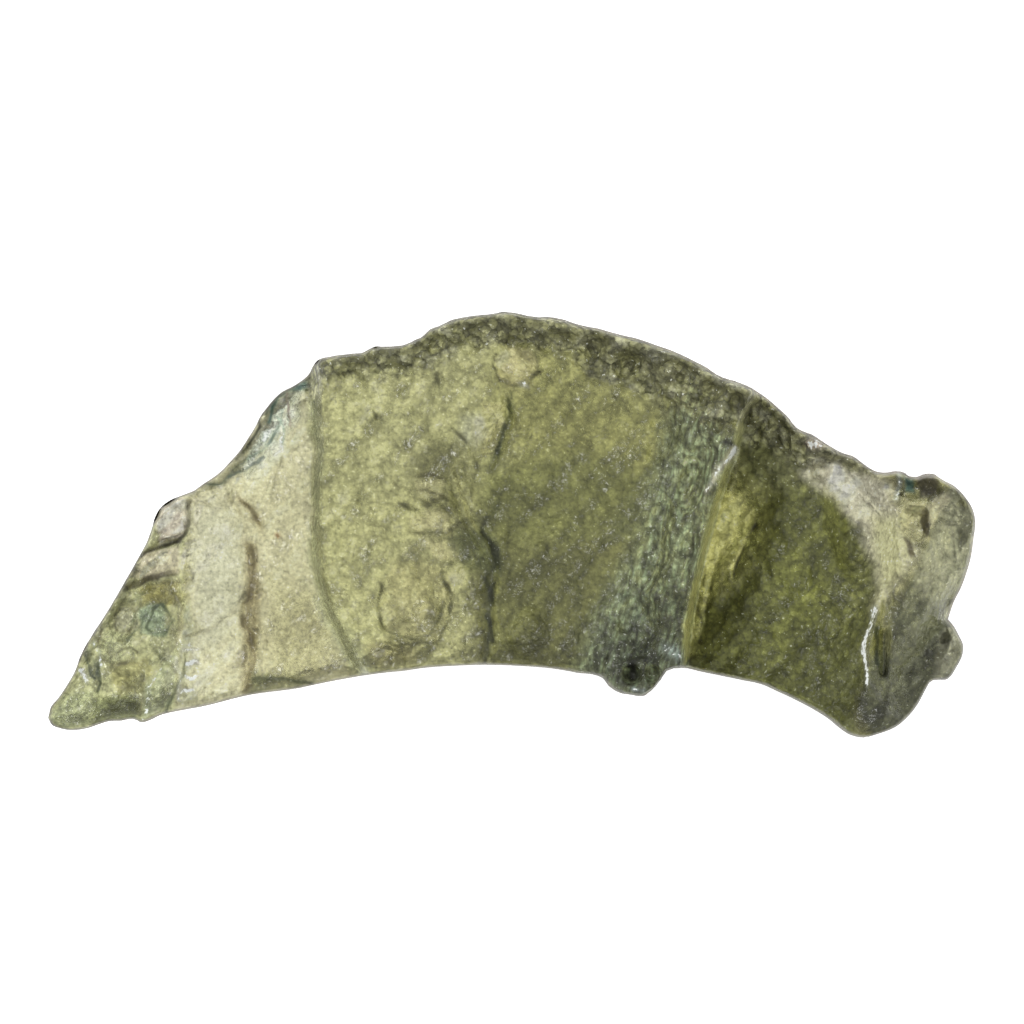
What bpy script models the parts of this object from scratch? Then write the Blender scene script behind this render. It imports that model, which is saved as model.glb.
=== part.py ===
"""A moldavite: one crescent of olive-green natural glass, lying on its broad back.

+X runs along the stone to its thick end, +Y from its hollow edge to its rough arched edge, and +Z up from the
small flat spot that it rests on. The stone is one closed skin over a grid of two parameters: one runs along it
from the thin tip to the notch in the thick end, and the other goes round its cross-section. Sizes are in
millimetres, and the finished mesh is in metres.
"""

from typing import NamedTuple

import bpy
import numpy as np

MM = 0.001
COLUMNS = 104
TOP_ROWS = 29
UNDER_ROWS = 17
RIM_BUNCHING = 0.55
SKIN_COLOUR = (0.34, 0.36, 0.14, 1.0)
SKIN_ROUGHNESS = 0.3
GLASS_IOR = 1.49

# Heights of the skin
EDGE_SHARE = 0.42
HOLLOW_BEVEL = 0.3
HOLLOW_BEVEL_POWER = 2.4
ARCHED_BEVEL_POWER = 2.0
UNDER_BEVEL = 1.3
UNDER_BEVEL_POWER = 1.8
SPOT_CENTRE = (3.0, -0.4)
SPOT_DEPTH = 0.08
UNDER_RISE = (1.0, 0.9)
UNDER_REACH = (21.0, 9.0)
SPOT_BLEND = (0.2, 0.6)  # the back's swells set in between these heights of its bowl

# The thin tip and the notch in the thick end, where the lines across the stone close up
TIP = (-18.54, -7.78)
NOTCH = (17.48, -3.82)


class Stretch(NamedTuple):
    """One stretch of the outline, up to a line across the stone."""

    middle: tuple  # where that line crosses the middle of the stone
    arched: tuple  # points of the rough arched edge
    hollow: tuple  # points of the smooth hollow edge
    bevel: float  # how far the bevel of the arched edge reaches in


STRETCHES = (
    Stretch(  # the rounded tip
        (-17.20, -7.06),
        ((-18.40, -7.30), (-18.16, -7.02), (-17.78, -6.46), (-17.46, -5.90)),
        ((-18.38, -8.05), (-18.01, -8.21), (-17.37, -8.26), (-16.92, -8.18)),
        0.35,
    ),
    Stretch(  # the faceted end, up to the crease
        (-13.20, -3.06),
        (
            (-17.24, -5.30), (-16.80, -4.50), (-16.28, -3.70), (-15.64, -2.62),
            (-14.98, -1.46), (-14.64, -0.86), (-14.40, -0.26), (-14.24, 0.26),
            (-14.02, 0.64), (-13.66, 0.92), (-13.06, 1.18), (-12.70, 1.32),
        ),
        ((-16.45, -8.02), (-16.08, -7.91), (-15.64, -7.89), (-15.08, -7.82), (-14.76, -7.94)),
        0.35,
    ),
    Stretch(  # the thin plate
        (-10.36, -1.46),
        (
            (-12.40, 1.54), (-11.68, 2.04), (-11.20, 2.54), (-10.88, 2.90),
            (-10.54, 3.42), (-10.24, 3.90), (-10.04, 4.30), (-9.84, 4.58),
        ),
        ((-14.44, -7.86), (-14.02, -7.66), (-13.33, -7.50), (-12.44, -7.34), (-10.44, -6.86)),
        0.4,
    ),
    Stretch(  # up to the step where the stone gets thicker
        (-7.72, 0.14),
        ((-9.20, 5.26), (-8.64, 5.56), (-8.08, 6.02), (-7.92, 6.32)),
        ((-8.44, -6.58), (-7.60, -6.40), (-6.20, -6.14), (-5.30, -6.00)),
        0.45,
    ),
    Stretch(  # the middle plate
        (-2.24, 0.74),
        (
            (-7.68, 6.56), (-7.24, 6.68), (-6.40, 6.80), (-5.88, 6.86), (-5.64, 7.00), (-5.40, 7.08),
            (-5.16, 7.08), (-4.64, 7.10), (-4.22, 7.16), (-3.85, 7.34), (-3.52, 7.50), (-3.30, 7.72),
        ),
        ((-4.24, -5.89), (-3.40, -5.77), (-2.28, -5.70), (-1.40, -5.66)),
        0.5,
    ),
    Stretch(  # the crown of the arch
        (2.20, 0.94),
        (
            (-2.84, 7.92), (-2.36, 8.14), (-1.84, 8.26), (-1.24, 8.34), (-0.76, 8.38),
            (-0.32, 8.46), (0.16, 8.42), (0.98, 8.26), (1.52, 8.26),
        ),
        ((0.36, -5.70), (1.80, -5.82), (2.72, -5.98)),
        0.55,
    ),
    Stretch(  # up to the foot of the ridge
        (5.16, 0.54),
        ((2.08, 8.16), (2.76, 7.94), (3.48, 7.80), (4.26, 7.58), (5.02, 7.40), (5.80, 7.14)),
        ((3.36, -6.06), (3.66, -6.18)),
        0.7,
    ),
    Stretch(  # the ridge, which ends in a knuckle at the hollow edge
        (7.80, -0.86),
        ((6.56, 6.86), (7.32, 6.50), (7.86, 6.20), (8.08, 6.04), (8.36, 5.88), (9.04, 5.66)),
        (
            (3.90, -6.48), (4.31, -6.74), (4.78, -6.84), (5.30, -6.86),
            (5.60, -6.66), (5.96, -6.24), (6.24, -5.86), (6.48, -5.78),
        ),
        0.8,
    ),
    Stretch(  # the recess beside the ridge
        (10.68, -1.66),
        ((9.56, 5.44), (10.12, 5.10), (10.68, 4.64), (11.08, 4.26), (11.42, 3.84)),
        ((7.06, -5.80), (7.48, -5.90), (8.44, -6.10), (9.23, -6.26), (10.00, -6.42)),
        0.7,
    ),
    Stretch(  # up to the smooth fold
        (13.28, -2.46),
        ((12.08, 3.54), (12.64, 3.18), (13.28, 2.82), (13.66, 2.70), (14.12, 2.38)),
        ((10.68, -6.72), (11.52, -7.12), (12.15, -7.46)),
        0.45,
    ),
    Stretch(  # up to the brow of the thick end
        (15.36, -3.18),
        (
            (14.56, 2.10), (14.92, 2.04), (15.40, 2.10), (15.66, 2.06), (15.96, 1.88),
            (16.22, 1.88), (16.48, 1.98), (16.86, 1.98), (17.20, 1.78),
        ),
        ((12.71, -7.82), (13.04, -8.10), (13.52, -8.42), (14.00, -8.53)),
        0.45,
    ),
    Stretch(  # the end face, as it turns down
        (16.44, -3.54),
        ((17.76, 1.46), (18.16, 1.04), (18.44, 0.56)),
        ((14.66, -8.38), (15.34, -8.10), (15.84, -7.68)),
        0.45,
    ),
    Stretch(  # the far edge
        (17.00, -3.70),
        ((18.54, 0.08), (18.48, -0.54), (18.36, -1.40)),
        ((16.26, -7.14), (16.54, -6.62), (16.72, -6.32), (17.46, -6.18)),
        0.45,
    ),
    Stretch(  # the nub below the notch
        (17.24, -3.78),
        ((18.20, -1.98), (18.00, -2.54)),
        ((17.78, -5.74), (18.04, -5.20)),
        0.4,
    ),
    Stretch(  # into the notch
        NOTCH,
        ((17.70, -3.14), NOTCH),
        ((18.06, -4.82), (17.92, -4.50), (17.68, -4.06), NOTCH),
        0.35,
    ),
)
LINES = len(STRETCHES)

# Where the grid's columns stand closer: line number, strength and reach
COLUMN_BUNCHES = ((0, 6.0, 0.15), (8, 2.5, 0.35), (LINES, 3.0, 0.5))

# Thickness of the stone at the lines across it, numbered from the tip: the thin plate, the middle plate and ridge,
# and the recess and thick end
THIN_PLATE = ((0, 1.2), (1, 1.9), (2, 2.9), (3, 2.4), (4, 2.7), (LINES, 2.7))
MIDDLE_PLATE = ((0, 4.0), (4, 4.0), (5, 4.3), (6, 4.8), (7, 5.6), (8, 7.2), (LINES, 7.2))
THICK_END = (
    (0, 3.2), (8, 3.2), (9, 4.6), (10, 5.0), (11, 6.6), (12, 6.0), (13, 5.2), (14, 4.6), (LINES, 4.0),
)

# The two lines where the thickness changes at once: the step, and the cliff on the right of the ridge
STEP_LINE = (
    (-7.88, 8.00), (-7.80, 6.14), (-7.72, 2.94), (-7.80, -0.66), (-7.72, -1.86),
    (-7.24, -3.46), (-6.64, -4.66), (-6.24, -5.46), (-5.64, -6.20),
)
STEP_WIDTH = 0.28
CLIFF_LINE = (
    (10.20, 6.50), (9.30, 4.40), (8.96, 3.14), (8.16, 0.74),
    (7.56, -1.46), (7.16, -3.46), (6.94, -5.06), (6.70, -7.00),
)
CLIFF_WIDTH = 0.2
CLIFF_FADE = (2.8, 5.4)  # over this reach of Y the cliff levels out
LEVEL_CREST = 5.2
CREST_END = (9.3, 10.7)


class Scoop(NamedTuple):
    """A shell-like flake scar, deepest at its centre and sharp at its edge."""

    x: float
    y: float
    radii: tuple
    turn: float  # degrees
    depth: float


TOP_SCOOPS = (
    # the faceted end and the tip
    Scoop(-17.56, -7.26, (0.9, 0.7), 20, 0.25),
    Scoop(-16.76, -5.78, (1.5, 1.0), 50, 0.40),
    Scoop(-15.44, -3.94, (0.7, 0.9), 0, 0.55),
    Scoop(-14.36, -4.16, (1.0, 1.6), 10, 0.40),
    Scoop(-15.30, -6.70, (1.4, 1.0), -20, 0.45),
    Scoop(-13.90, -6.60, (0.8, 1.2), 10, 0.35),
    Scoop(-14.84, -2.26, (1.0, 0.7), 60, 0.35),
    # chips along the thin plate's outer edge
    Scoop(-11.96, 1.60, (1.1, 0.6), 30, 0.60),
    Scoop(-10.50, 3.10, (1.2, 0.7), 55, 0.70),
    Scoop(-9.20, 4.80, (1.1, 0.7), 40, 0.70),
    # the middle plate
    Scoop(-4.04, -3.46, (1.4, 2.0), 5, 0.45),
    Scoop(-0.96, 3.34, (0.8, 1.1), -15, 0.45),
    Scoop(0.24, 6.34, (0.9, 0.7), 10, 0.40),
    Scoop(-3.24, 0.84, (1.1, 0.7), 0, 0.28),
    Scoop(-4.84, 3.74, (1.3, 1.2), 30, 0.22),
    Scoop(-1.94, -3.40, (0.8, 1.9), 0, 0.30),
    Scoop(-6.30, -0.40, (1.0, 1.9), 0, 0.22),
    Scoop(1.90, 3.80, (1.5, 1.5), 0, 0.25),
    Scoop(1.70, -1.50, (1.5, 1.9), 10, 0.28),
    Scoop(0.60, -4.30, (1.1, 1.1), 0, 0.25),
    # long scars down the ridge
    Scoop(6.10, 3.60, (0.7, 1.7), -12, 0.40),
    Scoop(7.30, 1.90, (0.6, 1.9), -16, 0.40),
    Scoop(5.70, -0.90, (0.6, 2.0), -14, 0.38),
    Scoop(6.90, -1.90, (0.5, 1.8), -12, 0.38),
    Scoop(5.00, -4.20, (0.9, 1.5), -8, 0.40),
    Scoop(4.84, -6.00, (0.45, 0.45), 0, 0.55),
    Scoop(5.64, -6.00, (0.38, 0.42), 0, 0.55),
    # the recess, the smooth fold and the thick end
    Scoop(9.60, 0.30, (1.2, 2.2), -15, 0.35),
    Scoop(11.60, -3.60, (1.8, 1.8), 0, 0.30),
    Scoop(13.90, 0.10, (1.4, 3.2), 12, 1.10),
    Scoop(16.24, 1.36, (0.9, 0.6), 0, 0.60),
    Scoop(16.00, -0.10, (0.7, 0.9), -20, 0.50),
    Scoop(17.50, 0.10, (0.9, 1.6), -15, 0.40),
    Scoop(15.60, -6.30, (1.2, 1.5), -20, 0.45),
    Scoop(16.80, -4.60, (0.7, 0.9), 0, 0.45),
)
UNDER_SCOOPS = (
    Scoop(-15.50, -5.80, (2.6, 1.9), 30, 0.35),
    Scoop(-11.20, -2.80, (3.2, 2.6), 45, 0.40),
    Scoop(-6.00, 3.20, (3.4, 2.4), 15, 0.45),
    Scoop(-5.00, -3.60, (3.0, 2.1), -10, 0.35),
    Scoop(3.40, 5.90, (3.6, 1.6), -8, 0.50),
    Scoop(12.40, 1.20, (2.8, 2.0), -30, 0.45),
    Scoop(15.40, -4.60, (2.4, 3.0), 10, 0.50),
    Scoop(10.20, -4.90, (2.6, 1.5), -20, 0.35),
)
RIM_SCOOPS = 26
RIM_SCOOP_FROM = 2.3
RIM_SCOOP_TO = 10.8
RIM_SEED = 11
RIM_SCOOP_ACROSS = (0.78, 0.94)
RIM_SCOOP_WIDTH = (0.55, 0.9)
RIM_SCOOP_HEIGHT = (0.5, 0.8)
RIM_SCOOP_DEPTH = (0.3, 0.6)


class Fold(NamedTuple):
    """A raised wrinkle, or a groove where the height is negative, along a line."""

    points: tuple
    width: float
    height: float


FOLDS = (
    # the crease between the facets and the thin plate
    Fold(((-12.84, 0.74), (-13.24, -1.46), (-13.12, -4.66), (-13.64, -7.06), (-14.72, -7.94)), 0.3, 0.32),
    # the flow line round the small lobe
    Fold(((-12.84, 0.74), (-12.92, -0.06), (-13.44, -0.66), (-14.04, -0.86), (-14.84, -1.46)), 0.28, -0.28),
    # the rough streak down the thin plate
    Fold(
        ((-11.84, 1.34), (-10.84, 0.14), (-10.44, -2.26), (-10.64, -3.86), (-10.24, -5.46), (-10.64, -6.66)),
        0.25,
        -0.16,
    ),
    # the dark wrinkle down the middle plate
    Fold(
        ((-2.44, 2.14), (-1.84, 0.14), (-1.24, -0.66), (-0.72, -1.66), (-0.84, -3.06), (-0.84, -5.06), (-1.04, -5.46)),
        0.28,
        0.3,
    ),
    Fold(((-0.24, 4.94), (-0.04, 4.14), (-0.44, 2.94), (-0.84, 2.34)), 0.25, -0.3),
    # flow lines in the recess
    Fold(((9.84, -0.06), (9.32, -0.90), (8.96, -1.78), (8.88, -2.14)), 0.2, -0.18),
    Fold(((8.30, -1.40), (7.90, -2.60), (7.66, -4.66)), 0.2, -0.15),
    # the bright ridge and the slit on the thick end's near side
    Fold(((14.70, -2.60), (14.56, -3.46), (14.20, -5.06), (14.08, -6.66)), 0.3, 0.4),
    Fold(((14.84, -4.40), (14.80, -5.90)), 0.25, -0.45),
)

# Low swells over the whole skin: waves per millimetre along X and Y, a shift, and a height
SWELLS = (
    (0.21, 0.13, 0.4, 0.10),
    (-0.17, 0.34, 1.9, 0.08),
    (0.55, -0.42, 4.1, 0.05),
    (0.83, 0.61, 2.7, 0.035),
    (-0.95, 0.88, 5.2, 0.03),
)


def smooth_curve(knots, values, at):
    """Values along a curve through the given ones: cubic pieces that share a slope where they meet."""
    slopes = np.gradient(values, knots)
    piece = np.clip(np.searchsorted(knots, at, side="right") - 1, 0, len(knots) - 2)
    span = knots[piece + 1] - knots[piece]
    t = (at - knots[piece]) / span
    start = values[piece] * (1 + 2 * t) * (1 - t) ** 2 + slopes[piece] * span * t * (1 - t) ** 2
    end = values[piece + 1] * t**2 * (3 - 2 * t) + slopes[piece + 1] * span * t**2 * (t - 1)
    return start + end


def line_curve(runs, along):
    """Points (x, y) at the line numbers along, on a smooth curve that starts at the tip and has a run per stretch."""
    points = np.array([TIP] + [point for run in runs for point in run])
    reach = np.concatenate([[0], np.cumsum(np.hypot(*np.diff(points, axis=0).T))])
    ends = np.cumsum([0] + [len(run) for run in runs])
    at = np.interp(along, np.arange(LINES + 1), reach[ends])
    return smooth_curve(reach, points[:, 0], at), smooth_curve(reach, points[:, 1], at)


def plan(along, across):
    """Plan point of each pair: across is 1 on the arched edge, 0 at the middle and -1 on the hollow edge.

    A line across the stone is the parabola through its points on the arched edge, the middle and the hollow edge.
    """
    arched = line_curve([stretch.arched for stretch in STRETCHES], along)
    middle = line_curve([(stretch.middle,) for stretch in STRETCHES], along)
    hollow = line_curve([stretch.hollow for stretch in STRETCHES], along)
    return [
        m * (1 - across**2) + a * across * (1 + across) / 2 - h * across * (1 - across) / 2
        for a, m, h in zip(arched, middle, hollow)
    ]


def distance_to(x, y, points):
    """Plan distance from each place to the nearest part of the line through points."""
    nearest = np.full(x.shape, np.inf)
    for (ax, ay), (bx, by) in zip(points[:-1], points[1:]):
        dx, dy = bx - ax, by - ay
        t = np.clip(((x - ax) * dx + (y - ay) * dy) / max(dx * dx + dy * dy, 1e-12), 0, 1)
        nearest = np.minimum(nearest, np.hypot(x - ax - t * dx, y - ay - t * dy))
    return nearest


def smooth_step(low, high, value):
    """0 below low, 1 above high and smooth between."""
    t = np.clip((value - low) / (high - low), 0, 1)
    return t * t * (3 - 2 * t)


def right_of(x, y, line, width):
    """0 left of a line that runs down the stone, 1 right of it, and smooth over width."""
    points = np.array(sorted(line, key=lambda point: point[1]))
    return smooth_step(-width, width, x - np.interp(y, points[:, 1], points[:, 0]))


def profile(pairs, along):
    """The thickness at the line numbers along, from the pairs of line number and thickness."""
    numbers, values = np.array(pairs, dtype=float).T
    return smooth_curve(numbers, values, along)


def thickness(x, y, along):
    """Thickness of the whole stone before its scars: each plate's own, changed over at the step and the cliff."""
    thin, middle, end = (profile(pairs, along) for pairs in (THIN_PLATE, MIDDLE_PLATE, THICK_END))
    over_step = right_of(x, y, STEP_LINE, STEP_WIDTH)
    over_cliff = right_of(x, y, CLIFF_LINE, CLIFF_WIDTH)
    crest = smooth_step(*CLIFF_FADE, y) * (1 - smooth_step(*CREST_END, along))
    end = end + (LEVEL_CREST - end) * crest
    return thin + (middle - thin) * over_step + (end - middle) * over_cliff


def scooped(x, y, scoops):
    """Depth of the flake scars: each a bowl with a sharp edge, and the deepest wins where they meet."""
    deepest = np.zeros(x.shape)
    for scoop in scoops:
        turn = np.radians(scoop.turn)
        dx, dy = x - scoop.x, y - scoop.y
        across = (dx * np.cos(turn) + dy * np.sin(turn)) / scoop.radii[0]
        up = (dy * np.cos(turn) - dx * np.sin(turn)) / scoop.radii[1]
        deepest = np.maximum(deepest, scoop.depth * (1 - across**2 - up**2))
    return deepest


def rim_scoops():
    """The row of flake scars that makes the arched edge rough."""
    random = np.random.default_rng(RIM_SEED)
    places = np.linspace(RIM_SCOOP_FROM, RIM_SCOOP_TO, RIM_SCOOPS)
    xs, ys = plan(places, random.uniform(*RIM_SCOOP_ACROSS, RIM_SCOOPS))
    return [
        Scoop(
            x,
            y,
            (random.uniform(*RIM_SCOOP_WIDTH), random.uniform(*RIM_SCOOP_HEIGHT)),
            random.uniform(0, 90),
            random.uniform(*RIM_SCOOP_DEPTH),
        )
        for x, y in zip(xs, ys)
    ]


def folded(x, y):
    """Height of the wrinkles and grooves: a bell-shaped section along each line."""
    return sum(
        fold.height * np.exp(-((distance_to(x, y, fold.points) / fold.width) ** 2)) for fold in FOLDS
    )


def swells(x, y):
    """Height of the low swells: a sum of plane waves."""
    return sum(
        height * np.sin(2 * np.pi * (along_x * x + along_y * y) + shift)
        for along_x, along_y, shift, height in SWELLS
    )


def under_bowl(x, y):
    """Height of the back before its scars: a shallow bowl that is lowest over the resting spot."""
    dx, dy = (x - SPOT_CENTRE[0]) / UNDER_REACH[0], (y - SPOT_CENTRE[1]) / UNDER_REACH[1]
    return UNDER_RISE[0] * dx**2 + UNDER_RISE[1] * dy**2


def bevel(distance, width, power):
    """Share of the full height at a distance from the outline: a quarter of a superellipse, 0 on the outline."""
    inside = 1 - np.clip(distance / width, 0, 1)
    return (1 - inside**power) ** (1 / power)


def skin(along, across, top):
    """Heights of the top or the underside over the plan, and the plan itself, as (x, y, z)."""
    x, y = plan(along, across)
    lines = np.linspace(0, LINES, 8 * LINES + 1)
    outline = [np.column_stack(plan(lines, np.full(lines.shape, side))) for side in (1.0, -1.0)]
    edge_distance = np.minimum(*(distance_to(x, y, edge) for edge in outline))
    bowl = under_bowl(x, y)
    full = thickness(x, y, along)
    edge = bowl + EDGE_SHARE * full
    if top:
        bevels = np.array([stretch.bevel for stretch in STRETCHES])
        arched_bevel = np.interp(along, np.arange(1, LINES + 1), bevels)
        share = (1 + across) / 2
        width = HOLLOW_BEVEL + (arched_bevel - HOLLOW_BEVEL) * share
        power = HOLLOW_BEVEL_POWER + (ARCHED_BEVEL_POWER - HOLLOW_BEVEL_POWER) * share
        scars = scooped(x, y, TOP_SCOOPS + tuple(rim_scoops()))
        height = bowl + full - scars + folded(x, y) + swells(x, y)
        return x, y, edge + (height - edge) * bevel(edge_distance, width, power)
    height = bowl - SPOT_DEPTH + scooped(x, y, UNDER_SCOOPS) + swells(y, x) * smooth_step(*SPOT_BLEND, bowl)
    height = np.maximum(height, 0.0)
    return x, y, edge + (height - edge) * bevel(edge_distance, UNDER_BEVEL, UNDER_BEVEL_POWER)


def column_places():
    """Line numbers of the grid's columns: even steps in millimetres, closer at both ends and at the cliff."""
    fine = np.linspace(0, LINES, 40 * LINES + 1)
    runs = [
        np.hypot(*(np.gradient(line, fine) for line in plan(fine, np.full(fine.shape, side))))
        for side in (-1.0, 0.0, 1.0)
    ]
    density = sum(runs) / len(runs)
    for centre, strength, width in COLUMN_BUNCHES:
        density = density + strength * np.exp(-np.abs(fine - centre) / width)
    total = np.concatenate([[0], np.cumsum((density[1:] + density[:-1]) / 2)])
    return np.interp(np.linspace(0, total[-1], COLUMNS + 2), total, fine)[1:-1]


def row_places(rows):
    """Places across the stone from one edge to the other, closer together at the edges."""
    even = np.linspace(0, 1, rows + 1)
    return RIM_BUNCHING * np.cos(np.pi * even) + (1 - RIM_BUNCHING) * (1 - 2 * even)


def stone_grid():
    """Vertices of the closed skin as columns by rows by (x, y, z): over the top and back along the underside."""
    columns = column_places()
    over = np.meshgrid(columns, row_places(TOP_ROWS), indexing="ij")
    back = np.meshgrid(columns, -row_places(UNDER_ROWS)[1:-1], indexing="ij")
    halves = [np.stack(skin(*over, True), axis=-1), np.stack(skin(*back, False), axis=-1)]
    return np.concatenate(halves, axis=1)


def pole(point, along):
    """The vertex in which all rows meet, at the height of the edge."""
    x, y = (np.array([value]) for value in point)
    full = thickness(x, y, np.array([float(along)]))
    return (point[0], point[1], float((under_bowl(x, y) + EDGE_SHARE * full)[0]))


def stone_mesh():
    """The stone's mesh: a grid closed round its rows, with a fan at the tip and one at the notch."""
    grid = stone_grid()
    columns, rows = grid.shape[:2]
    index = np.arange(columns * rows).reshape(columns, rows)
    beside = np.roll(index, -1, axis=1)
    quads = np.stack([index[:-1], beside[:-1], beside[1:], index[1:]], axis=-1).reshape(-1, 4)
    tip, notch = columns * rows, columns * rows + 1
    tip_fan = np.stack([np.full(rows, tip), beside[0], index[0]], axis=-1)
    notch_fan = np.stack([np.full(rows, notch), index[-1], beside[-1]], axis=-1)
    points = np.concatenate([grid.reshape(-1, 3), [pole(TIP, 0), pole(NOTCH, LINES)]]) * MM
    mesh = bpy.data.meshes.new("moldavite")
    mesh.from_pydata(points.tolist(), [], quads.tolist() + tip_fan.tolist() + notch_fan.tolist())
    mesh.shade_smooth()
    return mesh


def glass():
    """Olive-green natural glass with a satin skin."""
    material = bpy.data.materials.new("olive_glass")
    material.use_nodes = True
    shader = material.node_tree.nodes["Principled BSDF"]
    shader.inputs["Base Color"].default_value = SKIN_COLOUR
    shader.inputs["Roughness"].default_value = SKIN_ROUGHNESS
    shader.inputs["Metallic"].default_value = 0.0
    shader.inputs["IOR"].default_value = GLASS_IOR
    shader.inputs["Transmission Weight"].default_value = 1.0
    return material


def main():
    for obj in list(bpy.data.objects):
        bpy.data.objects.remove(obj, do_unlink=True)
    stone = bpy.data.objects.new("moldavite", stone_mesh())
    stone.data.materials.append(glass())
    bpy.context.scene.collection.objects.link(stone)


main()
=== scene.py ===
"""A moldavite, dressed: the fine skin of the stone, its olive glass, a pale floor, soft light and the camera.

The stone lies on its broad back. +X runs to its thick end, +Y to its rough arched edge and +Z up. Shapes are
worked out in millimetres and handed to Blender in metres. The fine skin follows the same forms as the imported
solid and replaces it. Colours are written as they are seen, in red, green and blue from 0 to 255.
"""

import logging
from dataclasses import dataclass
from enum import Enum

import bpy
import numpy as np
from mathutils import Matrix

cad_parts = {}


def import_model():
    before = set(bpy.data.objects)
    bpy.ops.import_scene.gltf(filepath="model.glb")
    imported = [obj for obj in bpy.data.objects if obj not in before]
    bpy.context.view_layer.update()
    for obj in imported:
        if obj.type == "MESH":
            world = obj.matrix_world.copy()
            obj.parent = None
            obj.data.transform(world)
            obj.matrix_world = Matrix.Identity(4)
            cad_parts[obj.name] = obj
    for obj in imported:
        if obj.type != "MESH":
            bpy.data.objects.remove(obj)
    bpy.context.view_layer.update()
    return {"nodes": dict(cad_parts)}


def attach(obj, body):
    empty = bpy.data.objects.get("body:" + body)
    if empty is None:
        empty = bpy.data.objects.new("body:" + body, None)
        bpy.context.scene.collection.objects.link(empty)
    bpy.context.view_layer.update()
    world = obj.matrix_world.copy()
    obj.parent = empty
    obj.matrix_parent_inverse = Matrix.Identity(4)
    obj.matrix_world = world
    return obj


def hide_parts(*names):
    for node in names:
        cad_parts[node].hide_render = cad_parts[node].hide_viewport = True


MM = 0.001
STONE_NODE = "moldavite"

Array = np.ndarray
Pair = tuple[float, float]
Triple = tuple[float, float, float]
Pairs = tuple[Pair, ...]
Layers = tuple[tuple[float, float, int], ...]

# The white of painted highlights.
PAINTED_HIGHLIGHT_WHITE: Triple = (232, 236, 228)
# Browns of dark lines, mostly painted shade along scar edges and creases.
BROWN_LINE: Triple = (86, 78, 46)
PALE_BROWN_LINE: Triple = (95, 85, 50)
BRIGHT_SUM = 450
TINY = 1e-12
TABLE = 256
NOISE_SHIFT = 2 * TABLE + 0.5
CELL_SHIFT = 2.0 * TABLE
CELL_MARGIN: Pair = (0.1, 0.9)
WRINKLE_SHARPNESS = 6
MIX_SHARE, MIX_UNDER, MIX_OVER, MIX_RESULT = 0, 6, 7, 2

log = logging.getLogger("moldavite")


class Side(Enum):
    """The two edges of the crescent, with the place across the stone at which each lies."""

    ARCHED = 1.0
    HOLLOW = -1.0


def smooth_curve(knots: Array, values: Array, at: Array) -> Array:
    """Cubic pieces through the values that share a slope where they meet.

    Args:
        knots: Where the values stand, rising.
        values: The values to pass through.
        at: Where to read the curve.

    Returns:
        The curve's values at those places.
    """
    slopes = np.gradient(values, knots)
    piece = np.clip(np.searchsorted(knots, at, side="right") - 1, 0, len(knots) - 2)
    span = knots[piece + 1] - knots[piece]
    t = (at - knots[piece]) / span
    start = values[piece] * (1 + 2 * t) * (1 - t) ** 2 + slopes[piece] * span * t * (1 - t) ** 2
    end = values[piece + 1] * t**2 * (3 - 2 * t) + slopes[piece + 1] * span * t**2 * (t - 1)
    return start + end


def smooth_step(low: float, high: float, value: Array) -> Array:
    """0 below low, 1 above high, and the cubic 3t^2 - 2t^3 between."""
    t = np.clip((value - low) / (high - low), 0, 1)
    return t * t * (3 - 2 * t)


def bell(distance: Array, width: float) -> Array:
    """1 at no distance, falling as the exponential of minus the square of distance over width."""
    return np.exp(-((distance / width) ** 2))


def distance_to(x: Array, y: Array, points: Pairs | Array) -> Array:
    """Plan distance to a line: the least of the distances to the nearest points of its straight parts.

    Args:
        x: Places along the stone.
        y: Places across the stone.
        points: The line's points.

    Returns:
        The distance at each place.
    """
    nearest = np.full(x.shape, np.inf)
    for (ax, ay), (bx, by) in zip(points[:-1], points[1:]):
        dx, dy = bx - ax, by - ay
        t = np.clip(((x - ax) * dx + (y - ay) * dy) / max(dx * dx + dy * dy, TINY), 0, 1)
        nearest = np.minimum(nearest, np.hypot(x - ax - t * dx, y - ay - t * dy))
    return nearest


def inside(x: Array, y: Array, points: Pairs) -> Array:
    """True within a closed outline: a line from the place to the left crosses it an odd number of times."""
    odd = np.zeros(x.shape, dtype=bool)
    for (ax, ay), (bx, by) in zip(points, points[1:] + points[:1]):
        crosses = (ay > y) != (by > y)
        at = ax + (y - ay) * (bx - ax) / ((by - ay) or TINY)
        odd ^= crosses & (x > at)
    return odd


def value_noise(x: Array, y: Array, cell: float, seed: int) -> Array:
    """Smooth random heights from -1 to 1: a grid of random values, blended with smooth steps.

    Args:
        x: Places along the stone.
        y: Places across the stone.
        cell: Size of the grid's cells.
        seed: Picks the random values.

    Returns:
        The height at each place.
    """
    grid = np.random.default_rng(seed).uniform(-1, 1, (TABLE + 1, TABLE + 1))
    u, v = x / cell + NOISE_SHIFT, y / cell + NOISE_SHIFT
    i, j = np.floor(u).astype(int), np.floor(v).astype(int)
    s, t = smooth_step(0, 1, u - i), smooth_step(0, 1, v - j)
    i, j = i % TABLE, j % TABLE
    low = grid[i, j] * (1 - s) + grid[i + 1, j] * s
    high = grid[i, j + 1] * (1 - s) + grid[i + 1, j + 1] * s
    return low * (1 - t) + high * t


def wrinkles(x: Array, y: Array, cell: float, seed: int) -> Array:
    """Thin winding lines: 1 where smooth random heights pass through 0, falling away on both sides."""
    return (1 - np.abs(value_noise(x, y, cell, seed))) ** WRINKLE_SHARPNESS


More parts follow.
